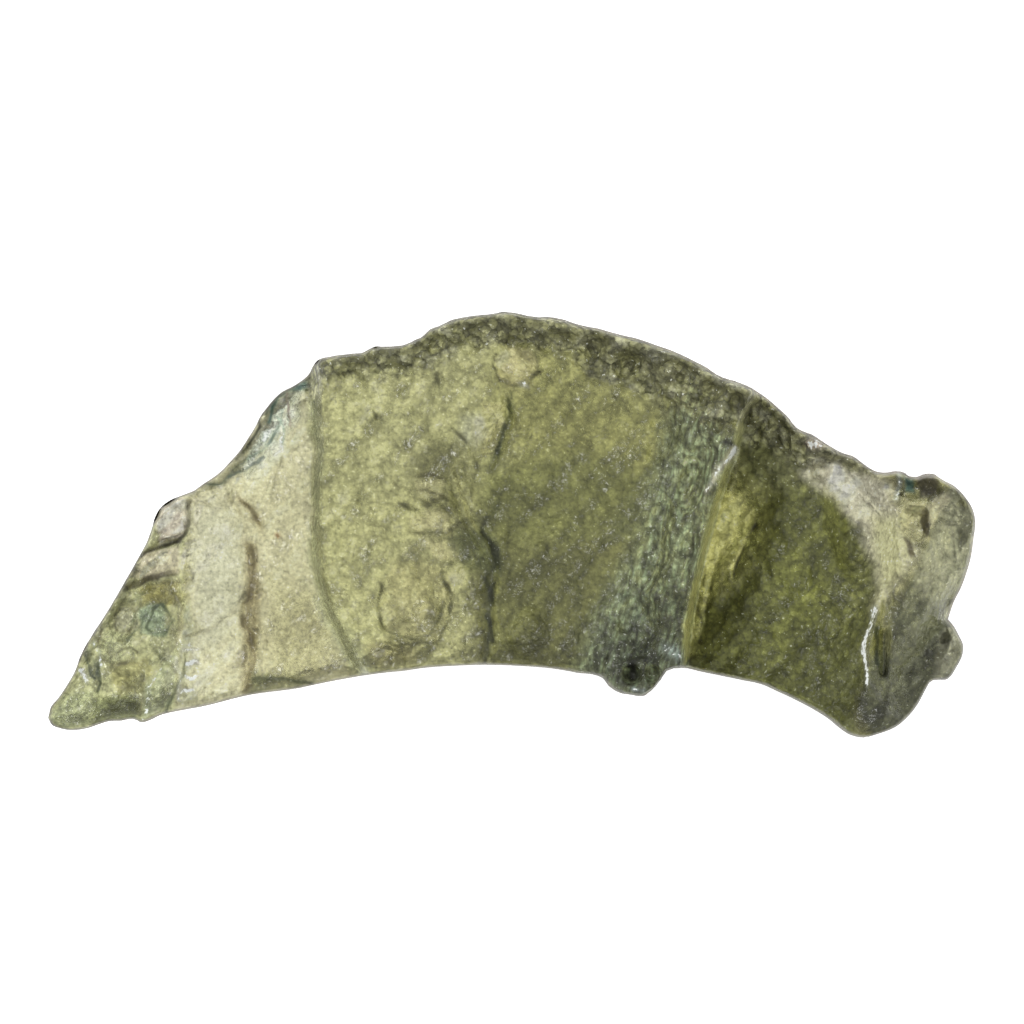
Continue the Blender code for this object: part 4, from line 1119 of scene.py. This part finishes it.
@dataclass(frozen=True)
class Glaze:
    """The tones of the skin: zones, painted shade and light by how the skin faces the key light, a mottle of
    cells and wrinkles with painted light and shade, streaks with painted shade and highlights, painted shade
    along the step and the edge, and the rough rim with painted glints.
    """

    outline: Outline
    relief: Relief
    absorbed: Triple
    base: Triple = (150, 148, 96)
    base_frost: float = 0.2
    base_texture: float = 0.4
    passed: float = 0.92
    daylight: float = 0.75
    # Painted shade and light by how the skin turns to the upper-left key light.
    form_shade: float = 0.9
    form_limit: float = 0.5
    form_reach: Pair = (0.1, 0.6)
    brightest_frost: float = 0.9
    mark_width: float = 0.12
    broken_middle: float = 0.85
    broken: Layers = ((0.45, 0.35, 55),)
    warp_x: Layers = ((1.1, 0.13, 51), (0.35, 0.07, 52))
    warp_y: Layers = ((1.1, 0.13, 53), (0.35, 0.07, 54))
    # The mottle's bowls and wrinkles share cells and seeds with the skin's peel and wrinkles: painted light
    # and shade on them.
    mottle_middle: float = 0.35
    mottle: Layers = ((0.55, 0.30, 21), (0.30, 0.30, 22))
    lines: Layers = ((1.5, 0.30, 23), (0.8, 0.30, 24))
    clouds: Layers = ((1.6, 0.08, 41), (0.7, 0.10, 42), (0.25, 0.14, 43))
    # Painted shade along the step.
    painted_step_shade: Triple = (172, 177, 136)
    step_share: float = 0.85
    step_reach: Pair = (0.20, 0.26)
    step_widens: Pair = (-1.0, -5.5)
    edge_pink: Triple = (140, 112, 88)
    pink_share: float = 0.15
    pink_from: Pair = (0.5, 3.0)
    # Painted shade along the edge.
    painted_edge_shade: Triple = (70, 64, 40)
    edge_width: float = 0.11
    edge_frost: float = 0.8
    wall_reach: Pair = (0.1, 0.35)
    wall_slant: Pair = (0.9, 0.7)
    edge_frost_width: float = 0.22

    def warped(self, x: Array, y: Array) -> tuple[Array, Array]:
        """Places moved a little by smooth noise, so that no border or line runs straight."""
        return x + layered(x, y, self.warp_x), y + layered(x, y, self.warp_y)

    def blend(self, tone: Array, colour: Triple, mask: Array) -> Array:
        """Moves the tones towards a colour by the mask."""
        return tone + (seen(colour) - tone) * mask[:, None]

    def zones(self, look: Look, x: Array, y: Array) -> None:
        """Lays the regions' zones one over the other, and the fibres of the ridge.

        Args:
            look: The look to change.
            x: Places along the stone.
            y: Places across the stone.
        """
        for region in self.relief.regions:
            for zone in region.tones:
                mask = zone.mask(x, y)
                look.tone = self.blend(look.tone, zone.colour, mask)
                look.frost = look.frost + (zone.frost - look.frost) * mask
                look.texture = look.texture + (region.texture - look.texture) * mask
                look.flat = look.flat + (zone.flat - look.flat) * mask
                if isinstance(region, Ridge):
                    look.fibre = np.maximum(look.fibre, mask)
                else:
                    look.fibre = look.fibre * (1 - mask)

    def marks(self, look: Look, x: Array, y: Array, broken: Array) -> None:
        """Lays the regions' streaks on the tones and marks the white painted highlights and the dark lines,
        which are mostly painted shade.

        Args:
            look: The look to change.
            x: Places along the stone.
            y: Places across the stone.
            broken: How strong a streak is at each place.
        """
        for region in self.relief.regions:
            for streak in region.streaks:
                look.tone = self.blend(look.tone, streak.colour, streak.mask(x, y) * broken)
                mark = streak.mask(x, y, self.mark_width) * broken
                # Bright streaks are painted highlights; dark ones are mostly painted shade.
                if streak.bright:
                    look.painted_highlight = np.maximum(look.painted_highlight, mark)
                else:
                    look.line = np.maximum(look.line, mark)

    def mottled(self, x: Array, y: Array) -> Array:
        """Natural logarithm of the mottle: clouds of random tone, and painted light and shade on the skin's
        own peel and wrinkles, lighter in the bowls and darker on their rims and on the wrinkles.
        """
        bowls = layered_bowls(x, y, self.mottle, self.mottle_middle)
        return layered(x, y, self.clouds) - bowls - layered_wrinkles(x, y, self.lines)

    def looks(self, x: Array, y: Array, z: Array, facing: Array) -> Look:
        """Works out the look of the skin from above.

        Args:
            x: Places along the stone.
            y: Places across the stone.
            z: Heights, which slant the mottle on the side walls so that it doesn't run straight down them.
            facing: How far each place of the skin turns to the upper left, which paints shade and light.

        Returns:
            The look.
        """
        wx, wy = self.warped(x, y)
        to_arched = self.outline.edge_distance(x, y, Side.ARCHED)
        to_edge = np.minimum(to_arched, self.outline.edge_distance(x, y, Side.HOLLOW))
        none = np.zeros(len(x))
        look = Look(
            np.tile(seen(self.base), (len(x), 1)), none + self.base_frost, none + self.base_texture,
            none, none, none, none,
        )
        self.zones(look, wx, wy)
        # Painted shade: a band along the step, wider towards the hollow edge.
        reach = self.step_reach[0] + self.step_reach[1] * smooth_step(*self.step_widens, wy)
        step = self.step_share * bell(across_line(wx, wy, self.relief.step_line), reach)
        look.tone = self.blend(look.tone, self.painted_step_shade, step)
        # Painted shade where the skin turns to the upper-left key light and painted light where it turns away,
        # fading in from the edge, with the painted light and shade of the mottle.
        form = self.form_shade * np.clip(facing, -self.form_limit, self.form_limit)
        form = form * smooth_step(*self.form_reach, to_edge)
        down = z * (1 - smooth_step(*self.wall_reach, to_edge))
        mottle = self.mottled(x + self.wall_slant[0] * down, y + self.wall_slant[1] * down)
        look.tone = look.tone * np.exp((mottle - form) * (1 - look.flat))[:, None]
        rim = self.relief.rim
        band = rim.band(x, y, to_arched)
        from_centre, patch = cells(wx, wy, rim.patch, rim.patch_seed)
        look.tone = self.blend(look.tone, rim.dark, band * rim.dark_share)
        # Painted glints: lighter patches in some of the rim's cells, brightest in their middles.
        light = band * smooth_step(*rim.patch_range, patch) * (1 - from_centre)
        look.tone = self.blend(look.tone, rim.light, light)
        look.frost = look.frost + (rim.frost - look.frost) * band
        look.texture = look.texture + (rim.texture - look.texture) * band
        self.marks(look, wx, wy, self.broken_middle + layered(x, y, self.broken))
        # Painted shade along the edge.
        look.tone = self.blend(look.tone, self.painted_edge_shade, bell(to_edge, self.edge_width))
        pink = self.pink_share * smooth_step(*self.pink_from, x) * bell(to_arched, self.edge_width)
        look.tone = self.blend(look.tone, self.edge_pink, pink)
        look.frost = look.frost + (self.edge_frost - look.frost) * bell(to_edge, self.edge_frost_width)
        return look

    def dress(self, look: Look, thick: Array) -> tuple[Array, Array]:
        """Turns tones into the glass's own tint and the frost's own colour.

        Args:
            look: The look from above.
            thick: Thickness of the stone at each place.

        Returns:
            The tint that leaves the tone once the thickness has taken its light, and the frost's colour that
            shows the tone in daylight.
        """
        left = np.exp(-thick[:, None] * MM * np.array(self.absorbed))
        tint = np.clip(look.tone / (self.passed * left), 0.0, 1.0)
        return tint, np.clip(look.tone / self.daylight, 0.0, self.brightest_frost)


class Wire:
    """A shader socket that Python's operators work on by adding Math nodes."""

    def __init__(self, board: "NodeBoard", socket: bpy.types.NodeSocket) -> None:
        """Wraps an output of a node on a board, where new nodes go."""
        self.board = board
        self.socket = socket

    def _math(self, operation: str, first: "Wire | float", second: "Wire | float") -> "Wire":
        """A Math node of two values."""
        return self.board.node("ShaderNodeMath", {"operation": operation}, {0: first, 1: second})

    def __add__(self, other: "Wire | float") -> "Wire":
        """Sum."""
        return self._math("ADD", self, other)

    def __radd__(self, other: float) -> "Wire":
        """Sum, with the number first."""
        return self._math("ADD", other, self)

    def __sub__(self, other: "Wire | float") -> "Wire":
        """Difference."""
        return self._math("SUBTRACT", self, other)

    def __rsub__(self, other: float) -> "Wire":
        """Difference, with the number first."""
        return self._math("SUBTRACT", other, self)

    def __mul__(self, other: "Wire | float") -> "Wire":
        """Product."""
        return self._math("MULTIPLY", self, other)

    def __rmul__(self, other: float) -> "Wire":
        """Product, with the number first."""
        return self._math("MULTIPLY", other, self)


class NodeBoard:
    """The node tree of one material."""

    def __init__(self, name: str) -> None:
        """Starts an empty material of this name."""
        self.material = bpy.data.materials.new(name)
        self.material.use_nodes = True
        self.nodes = self.material.node_tree.nodes
        self.links = self.material.node_tree.links
        self.nodes.clear()

    def raw(self, kind: str, settings: dict, sockets: dict) -> bpy.types.Node:
        """Adds a node, sets its settings and then its sockets.

        Args:
            kind: The node's type.
            settings: Its properties by name, or the stops of its colour ramp.
            sockets: Values or wires by socket name or number.

        Returns:
            The node.
        """
        node = self.nodes.new(kind)
        for name, value in settings.items():
            if name == "stops":
                self.set_stops(node, value)
            else:
                setattr(node, name, value)
        for name, value in sockets.items():
            if isinstance(value, Wire):
                self.links.new(value.socket, node.inputs[name])
            else:
                node.inputs[name].default_value = value
        return node

    def set_stops(self, node: bpy.types.Node, stops: tuple[tuple[float, Triple], ...]) -> None:
        """Gives a colour ramp its stops: pairs of place and colour."""
        elements = node.color_ramp.elements
        while len(elements) < len(stops):
            elements.new(1.0)
        for element, (place, colour) in zip(elements, stops):
            element.position = place
            element.color = (*colour, 1.0)

    def node(self, kind: str, settings: dict, sockets: dict, output: str | int = 0) -> Wire:
        """Adds a node and wraps one of its outputs."""
        return Wire(self, self.raw(kind, settings, sockets).outputs[output])


@dataclass(frozen=True)
class OliveGlass:
    """See-through olive glass under a satin, pitted and partly frosted skin."""

    absorbed: Triple = (85.0, 90.0, 190.0)
    ior: float = 1.49
    grain_scale: float = 6500.0
    facet_scale: float = 3400.0
    facet_shift: float = 0.00022
    fibre_scale: float = 5200.0
    fibre_length: float = 4.0
    relief: float = 0.00006
    smooth: float = 0.05
    rough: float = 0.14
    frost_roughness: float = 0.6
    facet_contrast: float = 0.75
    border_contrast: float = 0.45
    line_contrast: float = 0.5
    absorbed_share: float = 0.9
    detail: float = 2.0
    grain_falloff: float = 0.55
    middle: float = 0.5
    unevenness: float = 0.9
    # Painted highlights and painted glints: the unevenness and range of the white marks, and the range and
    # share of the glints among the brightest grains.
    highlight_unevenness: float = 1.6
    line_range: Pair = (0.42, 0.72)
    highlight_range: Pair = (0.50, 0.75)
    glint_range: Pair = (0.67, 0.74)
    glint_share: float = 0.5
    border_range: Pair = (0.35, 0.75)
    least_relief: float = 0.3
    grain_relief: float = 0.5
    line_relief: float = 0.3
    # Painted highlights frost the skin as well.
    highlight_frost: float = 0.6
    line_frost: float = 0.5
    border_frost: float = 0.15
    # Speckle of the skin; the top stop brightens the rarest grains into painted glints.
    grain_shades: Pairs = (
        (0.28, 0.64), (0.40, 0.88), (0.50, 1.0), (0.60, 1.12), (0.68, 1.30), (0.74, 2.0),
    )
    fibre_shades: tuple[tuple[float, Triple], ...] = (
        (0.34, (0.44, 0.43, 0.38)),
        (0.47, (0.84, 0.83, 0.76)),
        (0.55, (1.10, 1.12, 1.08)),
        (0.66, (1.80, 1.95, 1.95)),
    )
    # The white of painted highlights.
    highlight_white: Triple = (0.90, 0.93, 0.90)

    def attribute(self, board: NodeBoard, name: str, output: str) -> Wire:
        """Reads one of the stone's own attributes."""
        return board.node("ShaderNodeAttribute", {"attribute_name": name}, {}, output)

    def sharpened(self, board: NodeBoard, value: Wire, low: float, high: float) -> Wire:
        """0 below low, 1 above high and smooth between."""
        sockets = {"Value": value, "From Min": low, "From Max": high}
        return board.node("ShaderNodeMapRange", {"interpolation_type": "SMOOTHSTEP"}, sockets)

    def mixed(
        self, board: NodeBoard, blend: str, share: Wire | float, under: Wire, over: Wire | tuple
    ) -> Wire:
        """Two colours mixed, kept between 0 and 1."""
        settings = {"data_type": "RGBA", "blend_type": blend, "clamp_result": True}
        sockets = {MIX_SHARE: share, MIX_UNDER: under, MIX_OVER: over}
        return board.node("ShaderNodeMix", settings, sockets, MIX_RESULT)

    def noise(self, board: NodeBoard, place: Wire, scale: float, more: dict) -> bpy.types.Node:
        """Fine noise over the skin."""
        sockets = {"Vector": place, "Scale": scale, "Detail": self.detail, **more}
        return board.raw("ShaderNodeTexNoise", {}, sockets)

    def facets(self, board: NodeBoard, place: Wire, scatter: Wire) -> tuple[Wire, Wire]:
        """Small facets with uneven borders: the distance from a facet's centre and its random number."""
        shift = (self.facet_shift, self.facet_shift, self.facet_shift)
        shifted = board.node(
            "ShaderNodeVectorMath", {"operation": "MULTIPLY_ADD"}, {0: scatter, 1: shift, 2: place}
        )
        peel = board.raw(
            "ShaderNodeTexVoronoi", {"feature": "F1"}, {"Vector": shifted, "Scale": self.facet_scale}
        )
        from_centre, colour = (Wire(board, peel.outputs[name]) for name in ("Distance", "Color"))
        return from_centre, board.node("ShaderNodeSeparateColor", {}, {"Color": colour}, "Red")

    def fibres(self, board: NodeBoard, place: Wire) -> Wire:
        """Light and dark strands along the ridge."""
        ridge_turn = (0.0, 0.0, float(np.radians(Ridge().direction)))
        along_ridge = board.node(
            "ShaderNodeMapping",
            {"vector_type": "TEXTURE"},
            {"Vector": place, "Rotation": ridge_turn, "Scale": (1.0, self.fibre_length, 1.0)},
        )
        strands = Wire(board, self.noise(board, along_ridge, self.fibre_scale, {}).outputs[0])
        return board.node("ShaderNodeValToRGB", {"stops": self.fibre_shades}, {"Fac": strands}, "Color")

    def inner(self, board: NodeBoard) -> Wire:
        """Plain absorption inside the glass."""
        strongest = max(self.absorbed) / self.absorbed_share
        colour = tuple(1 - value / strongest for value in self.absorbed)
        sockets = {"Color": (*colour, 1.0), "Density": strongest}
        return board.node("ShaderNodeVolumeAbsorption", {}, sockets)

    def build(self) -> bpy.types.Material:
        """Builds the glass.

        Returns:
            A clear Principled glass mixed with a frosted one, with plain absorption inside. Colours,
            roughness, bump and mix vary over the skin; the colours carry painted shade, painted highlights and
            painted glints.
        """
        board = NodeBoard("olive_glass")
        place = board.node("ShaderNodeTexCoord", {}, {}, "Object")
        texture = self.attribute(board, "frost", "Alpha")
        marks = board.raw("ShaderNodeSeparateColor", {}, {"Color": self.attribute(board, "marks", "Color")})
        line, painted_highlight, fibre = (Wire(board, output) for output in marks.outputs)
        noise = self.noise(board, place, self.grain_scale, {"Roughness": self.grain_falloff})
        grain, scatter = (Wire(board, noise.outputs[name]) for name in ("Fac", "Color"))
        from_centre, facet = self.facets(board, place, scatter)
        fibres = self.fibres(board, place)
        greys = tuple((at, (grey, grey, grey)) for at, grey in self.grain_shades)
        grains = board.node("ShaderNodeValToRGB", {"stops": greys}, {"Fac": grain}, "Color")
        uneven = (grain - self.middle) * self.unevenness
        lines = self.sharpened(board, line + uneven, *self.line_range)
        # Painted glints at the brightest grains, added to the painted highlights of the white marks.
        painted_glints = self.sharpened(board, grain, *self.glint_range) * texture * self.glint_share
        painted_highlights = self.sharpened(board, painted_highlight + uneven * self.highlight_unevenness, *self.highlight_range) + painted_glints
        borders = self.sharpened(board, from_centre, *self.border_range)
        # Shade of the colours: speckle, facets, darker facet borders and the dark lines, which are mostly
        # painted shade.
        shade = (
            grains
            * (1 + texture * (facet - self.middle) * self.facet_contrast)
            * (1 - texture * borders * self.border_contrast)
            * (1 - lines * self.line_contrast)
        )
        colours = []
        # Both colours take the shade and the ridge's fibres, then go to white by the painted highlights.
        for name, strength in (("tint", shade * shade), ("frost", shade)):
            colour = self.mixed(board, "MULTIPLY", 1.0, self.attribute(board, name, "Color"), strength)
            colour = self.mixed(board, "MULTIPLY", fibre, colour, fibres)
            colours.append(self.mixed(board, "MIX", painted_highlights, colour, (*self.highlight_white, 1.0)))
        height = (
            from_centre * (texture + self.least_relief) + grain * self.grain_relief - lines * self.line_relief
        )
        bump = board.node("ShaderNodeBump", {}, {"Distance": self.relief, "Height": height}, "Normal")
        clear = board.node(
            "ShaderNodeBsdfPrincipled",
            {},
            {
                "Base Color": colours[0],
                "Roughness": self.smooth + grain * self.rough,
                "Normal": bump,
                "IOR": self.ior,
                "Transmission Weight": 1.0,
            },
        )
        frosted = board.node(
            "ShaderNodeBsdfPrincipled",
            {},
            {"Base Color": colours[1], "Roughness": self.frost_roughness, "Normal": bump, "IOR": self.ior},
        )
        # Painted highlights and dark lines frost the skin too.
        frosting = (
            self.attribute(board, "tint", "Alpha")
            + painted_highlights * self.highlight_frost
            + lines * self.line_frost
            + texture * borders * self.border_frost
        )
        surface = board.node("ShaderNodeMixShader", {}, {0: frosting, 1: clear, 2: frosted})
        board.raw("ShaderNodeOutputMaterial", {}, {"Surface": surface, "Volume": self.inner(board)})
        return board.material


@dataclass(frozen=True)
class Stone:
    """The whole stone as one closed skin over a grid that runs along it and round its cross-section."""

    outline: Outline
    relief: Relief
    glass: OliveGlass
    columns: int = 600
    top_rows: int = 122
    under_rows: int = 35
    rim_bunching: float = 0.45
    light_from: Pair = (-0.81, 0.58)
    bunches: tuple[Triple, ...] = ((0, 6.0, 0.15), (8, 1.5, 0.35), (15, 3.0, 0.5))
    length_steps: int = 40
    under_frosting: float = 0.35
    edge_thickness: float = 0.25
    thinnest: float = 0.1

    def column_places(self) -> Array:
        """Line numbers of the columns: even steps in millimetres, closer at both ends and at the cliff."""
        fine = np.linspace(0, self.outline.lines, self.length_steps * self.outline.lines + 1)
        runs = []
        for across in (Side.HOLLOW.value, 0.0, Side.ARCHED.value):
            xs, ys = self.outline.plan(fine, np.full(fine.shape, across))
            runs.append(np.hypot(np.gradient(xs, fine), np.gradient(ys, fine)))
        density = sum(runs) / len(runs)
        for centre, strength, width in self.bunches:
            density = density + strength * np.exp(-np.abs(fine - centre) / width)
        total = np.concatenate([[0], np.cumsum((density[1:] + density[:-1]) / 2)])
        return np.interp(np.linspace(0, total[-1], self.columns + 2), total, fine)[1:-1]

    def row_places(self, rows: int) -> Array:
        """Places across from edge to edge: a blend of even steps and a cosine, closer at the edges."""
        even = np.linspace(0, 1, rows + 1)
        return self.rim_bunching * np.cos(np.pi * even) + (1 - self.rim_bunching) * (1 - 2 * even)

    def grid(self) -> tuple[Array, Array]:
        """The skin's vertices, columns by rows by (x, y, z, line), over the top and back, and the poles."""
        columns = self.column_places()
        over = np.meshgrid(columns, self.row_places(self.top_rows), indexing="ij")
        back = np.meshgrid(columns, -self.row_places(self.under_rows)[1:-1], indexing="ij")
        top_x, top_y = self.outline.plan(*over)
        under_x, under_y = self.outline.plan(*back)
        top = np.stack([top_x, top_y, self.relief.top(*over, top_x, top_y), over[0]], axis=-1)
        under = np.stack([under_x, under_y, self.relief.under(back[0], under_x, under_y), back[0]], axis=-1)
        poles = np.array([
            (*self.relief.pole(self.outline.tip, 0.0), 0.0),
            (*self.relief.pole(self.outline.notch, float(self.outline.lines)), float(self.outline.lines)),
        ])
        return np.concatenate([top, under], axis=1), poles

    def faces(self, columns: int, rows: int) -> list[list[int]]:
        """Quads round the rows and a fan at each pole, all facing out."""
        index = np.arange(columns * rows).reshape(columns, rows)
        beside = np.roll(index, -1, axis=1)
        quads = np.stack([index[:-1], beside[:-1], beside[1:], index[1:]], axis=-1).reshape(-1, 4)
        tip, notch = columns * rows, columns * rows + 1
        tip_fan = np.stack([np.full(rows, tip), beside[0], index[0]], axis=-1)
        notch_fan = np.stack([np.full(rows, notch), index[-1], beside[-1]], axis=-1)
        return quads.tolist() + tip_fan.tolist() + notch_fan.tolist()

    def facing(self, grid: Array) -> Array:
        """How far each place of the skin turns to the light: its normal's plan part along that direction.

        Args:
            grid: The skin's vertices, columns by rows.

        Returns:
            One value a vertex, with 0 at the two poles.
        """
        normal = np.cross(np.gradient(grid[..., :3], axis=1), np.gradient(grid[..., :3], axis=0))
        length = np.maximum(np.linalg.norm(normal, axis=-1), TINY)
        turned_to = (normal[..., 0] * self.light_from[0] + normal[..., 1] * self.light_from[1]) / length
        return np.concatenate([turned_to.ravel(), [0.0, 0.0]])

    def thick(self, x: Array, y: Array, along: Array) -> Array:
        """Thickness of the glass at each place: the plates' thickness, less towards the edge."""
        share = self.relief.bevel(
            np.minimum(*(self.outline.edge_distance(x, y, side) for side in Side)), *self.relief.under_bevel
        )
        share = self.edge_thickness + (1 - self.edge_thickness) * share
        return np.maximum(self.relief.thickness(x, y, along) * share, self.thinnest)

    def build(self) -> bpy.types.Object:
        """Builds and dresses the stone.

        Returns:
            The stone's object, at the origin.
        """
        grid, poles = self.grid()
        columns, rows = grid.shape[:2]
        points = np.concatenate([grid.reshape(-1, 4), poles])
        x, y = points[:, 0], points[:, 1]
        mesh = bpy.data.meshes.new("moldavite_stone")
        mesh.from_pydata((points[:, :3] * MM).tolist(), [], self.faces(columns, rows))
        mesh.shade_smooth()
        glaze = Glaze(self.outline, self.relief, self.glass.absorbed)
        look = glaze.looks(x, y, points[:, 2], self.facing(grid))
        tint, frost = glaze.dress(look, self.thick(x, y, points[:, 3]))
        below = np.zeros((columns, rows), dtype=bool)
        below[:, self.top_rows + 1:] = True
        look.frost[:-2] *= np.where(below.ravel(), self.under_frosting, 1.0)
        layers = {
            "tint": (tint, look.frost),
            "frost": (frost, look.texture),
            # marks holds the dark lines, mostly painted shade, the painted highlights and the ridge's fibres.
            "marks": (look.line, look.painted_highlight, look.fibre, np.ones(len(x))),
        }
        for name, values in layers.items():
            layer = mesh.attributes.new(name, "FLOAT_COLOR", "POINT")
            layer.data.foreach_set("color", np.column_stack(values).ravel())
        mesh.materials.append(self.glass.build())
        stone = bpy.data.objects.new("moldavite_stone", mesh)
        bpy.context.scene.collection.objects.link(stone)
        return stone


@dataclass(frozen=True)
class Studio:
    """The pale floor, the soft light and the camera."""

    floor_reach: float = 3.0
    floor_drop: float = 0.00003
    floor_glow: float = 0.85
    floor_colour: float = 0.8
    floor_roughness: float = 0.7
    softboxes: tuple[tuple[str, Triple, float, float], ...] = (
        ("key", (-0.25, 0.18, 0.27), 0.11, 16.0),
        ("fill", (0.30, -0.10, 0.25), 0.16, 2.5),
    )
    sky: float = 0.6
    camera_height: float = 0.6
    camera_centre: Pair = (0.04, 0.464)
    frame_width: float = 0.04096
    stone_height: float = 0.003
    sensor: float = 36.0

    def floor(self) -> bpy.types.Object:
        """A wide pale floor that glows softly, as a light table does."""
        reach, drop = self.floor_reach, -self.floor_drop
        corners = [(-reach, -reach, drop), (reach, -reach, drop), (reach, reach, drop), (-reach, reach, drop)]
        mesh = bpy.data.meshes.new("floor")
        mesh.from_pydata(corners, [], [(0, 1, 2, 3)])
        board = NodeBoard("pale_floor")
        shader = board.node(
            "ShaderNodeBsdfPrincipled",
            {},
            {
                "Base Color": (self.floor_colour, self.floor_colour, self.floor_colour, 1.0),
                "Roughness": self.floor_roughness,
                "Specular IOR Level": 0.0,
                "Emission Color": (1.0, 1.0, 1.0, 1.0),
                "Emission Strength": self.floor_glow,
            },
        )
        board.raw("ShaderNodeOutputMaterial", {}, {"Surface": shader})
        board.material.cycles.emission_sampling = "NONE"
        mesh.materials.append(board.material)
        floor = bpy.data.objects.new("floor", mesh)
        bpy.context.scene.collection.objects.link(floor)
        return floor

    def softbox(self, name: str, at: Triple, size: float, brightness: float) -> None:
        """A square area light that faces the stone; its power is pi times its area times its brightness."""
        light = bpy.data.lights.new(name, "AREA")
        light.shape, light.size = "SQUARE", size
        light.energy = np.pi * size**2 * brightness
        lamp = bpy.data.objects.new(name, light)
        lamp.location = at
        lamp.rotation_euler = lamp.location.to_track_quat("Z", "Y").to_euler()
        bpy.context.scene.collection.objects.link(lamp)

    def lights(self) -> None:
        """A key from the upper left, a weaker fill from the right, and an even sky."""
        for light in self.softboxes:
            self.softbox(*light)
        world = bpy.data.worlds.new("even_sky")
        world.use_nodes = True
        background = world.node_tree.nodes["Background"]
        background.inputs["Color"].default_value = (self.sky, self.sky, self.sky, 1.0)
        bpy.context.scene.world = world

    def camera(self) -> None:
        """A long lens straight above the stone."""
        data = bpy.data.cameras.new("camera")
        data.sensor_width = self.sensor
        data.lens = self.sensor * (self.camera_height - self.stone_height) / self.frame_width
        camera = bpy.data.objects.new("camera", data)
        camera.location = (self.camera_centre[0] * MM, self.camera_centre[1] * MM, self.camera_height)
        bpy.context.scene.collection.objects.link(camera)
        bpy.context.scene.camera = camera


def main() -> None:
    """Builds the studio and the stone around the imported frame."""
    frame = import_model()
    log.info("frame holds %s", ", ".join(frame["nodes"]))
    bpy.context.scene.view_settings.view_transform = "Standard"
    studio = Studio()
    studio.floor()
    studio.lights()
    studio.camera()
    outline = Outline()
    regions = (FacetedEnd(), ThinPlate(), MiddlePlate(), Ridge(), Recess(), ThickEnd())
    stone = Stone(outline, Relief(outline, regions, RoughRim()), OliveGlass()).build()
    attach(stone, "root")
    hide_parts(STONE_NODE)
    log.info("%s: %d faces", stone.name, len(stone.data.polygons))


if __name__ == "__main__":
    logging.basicConfig(level=logging.INFO)
    main()
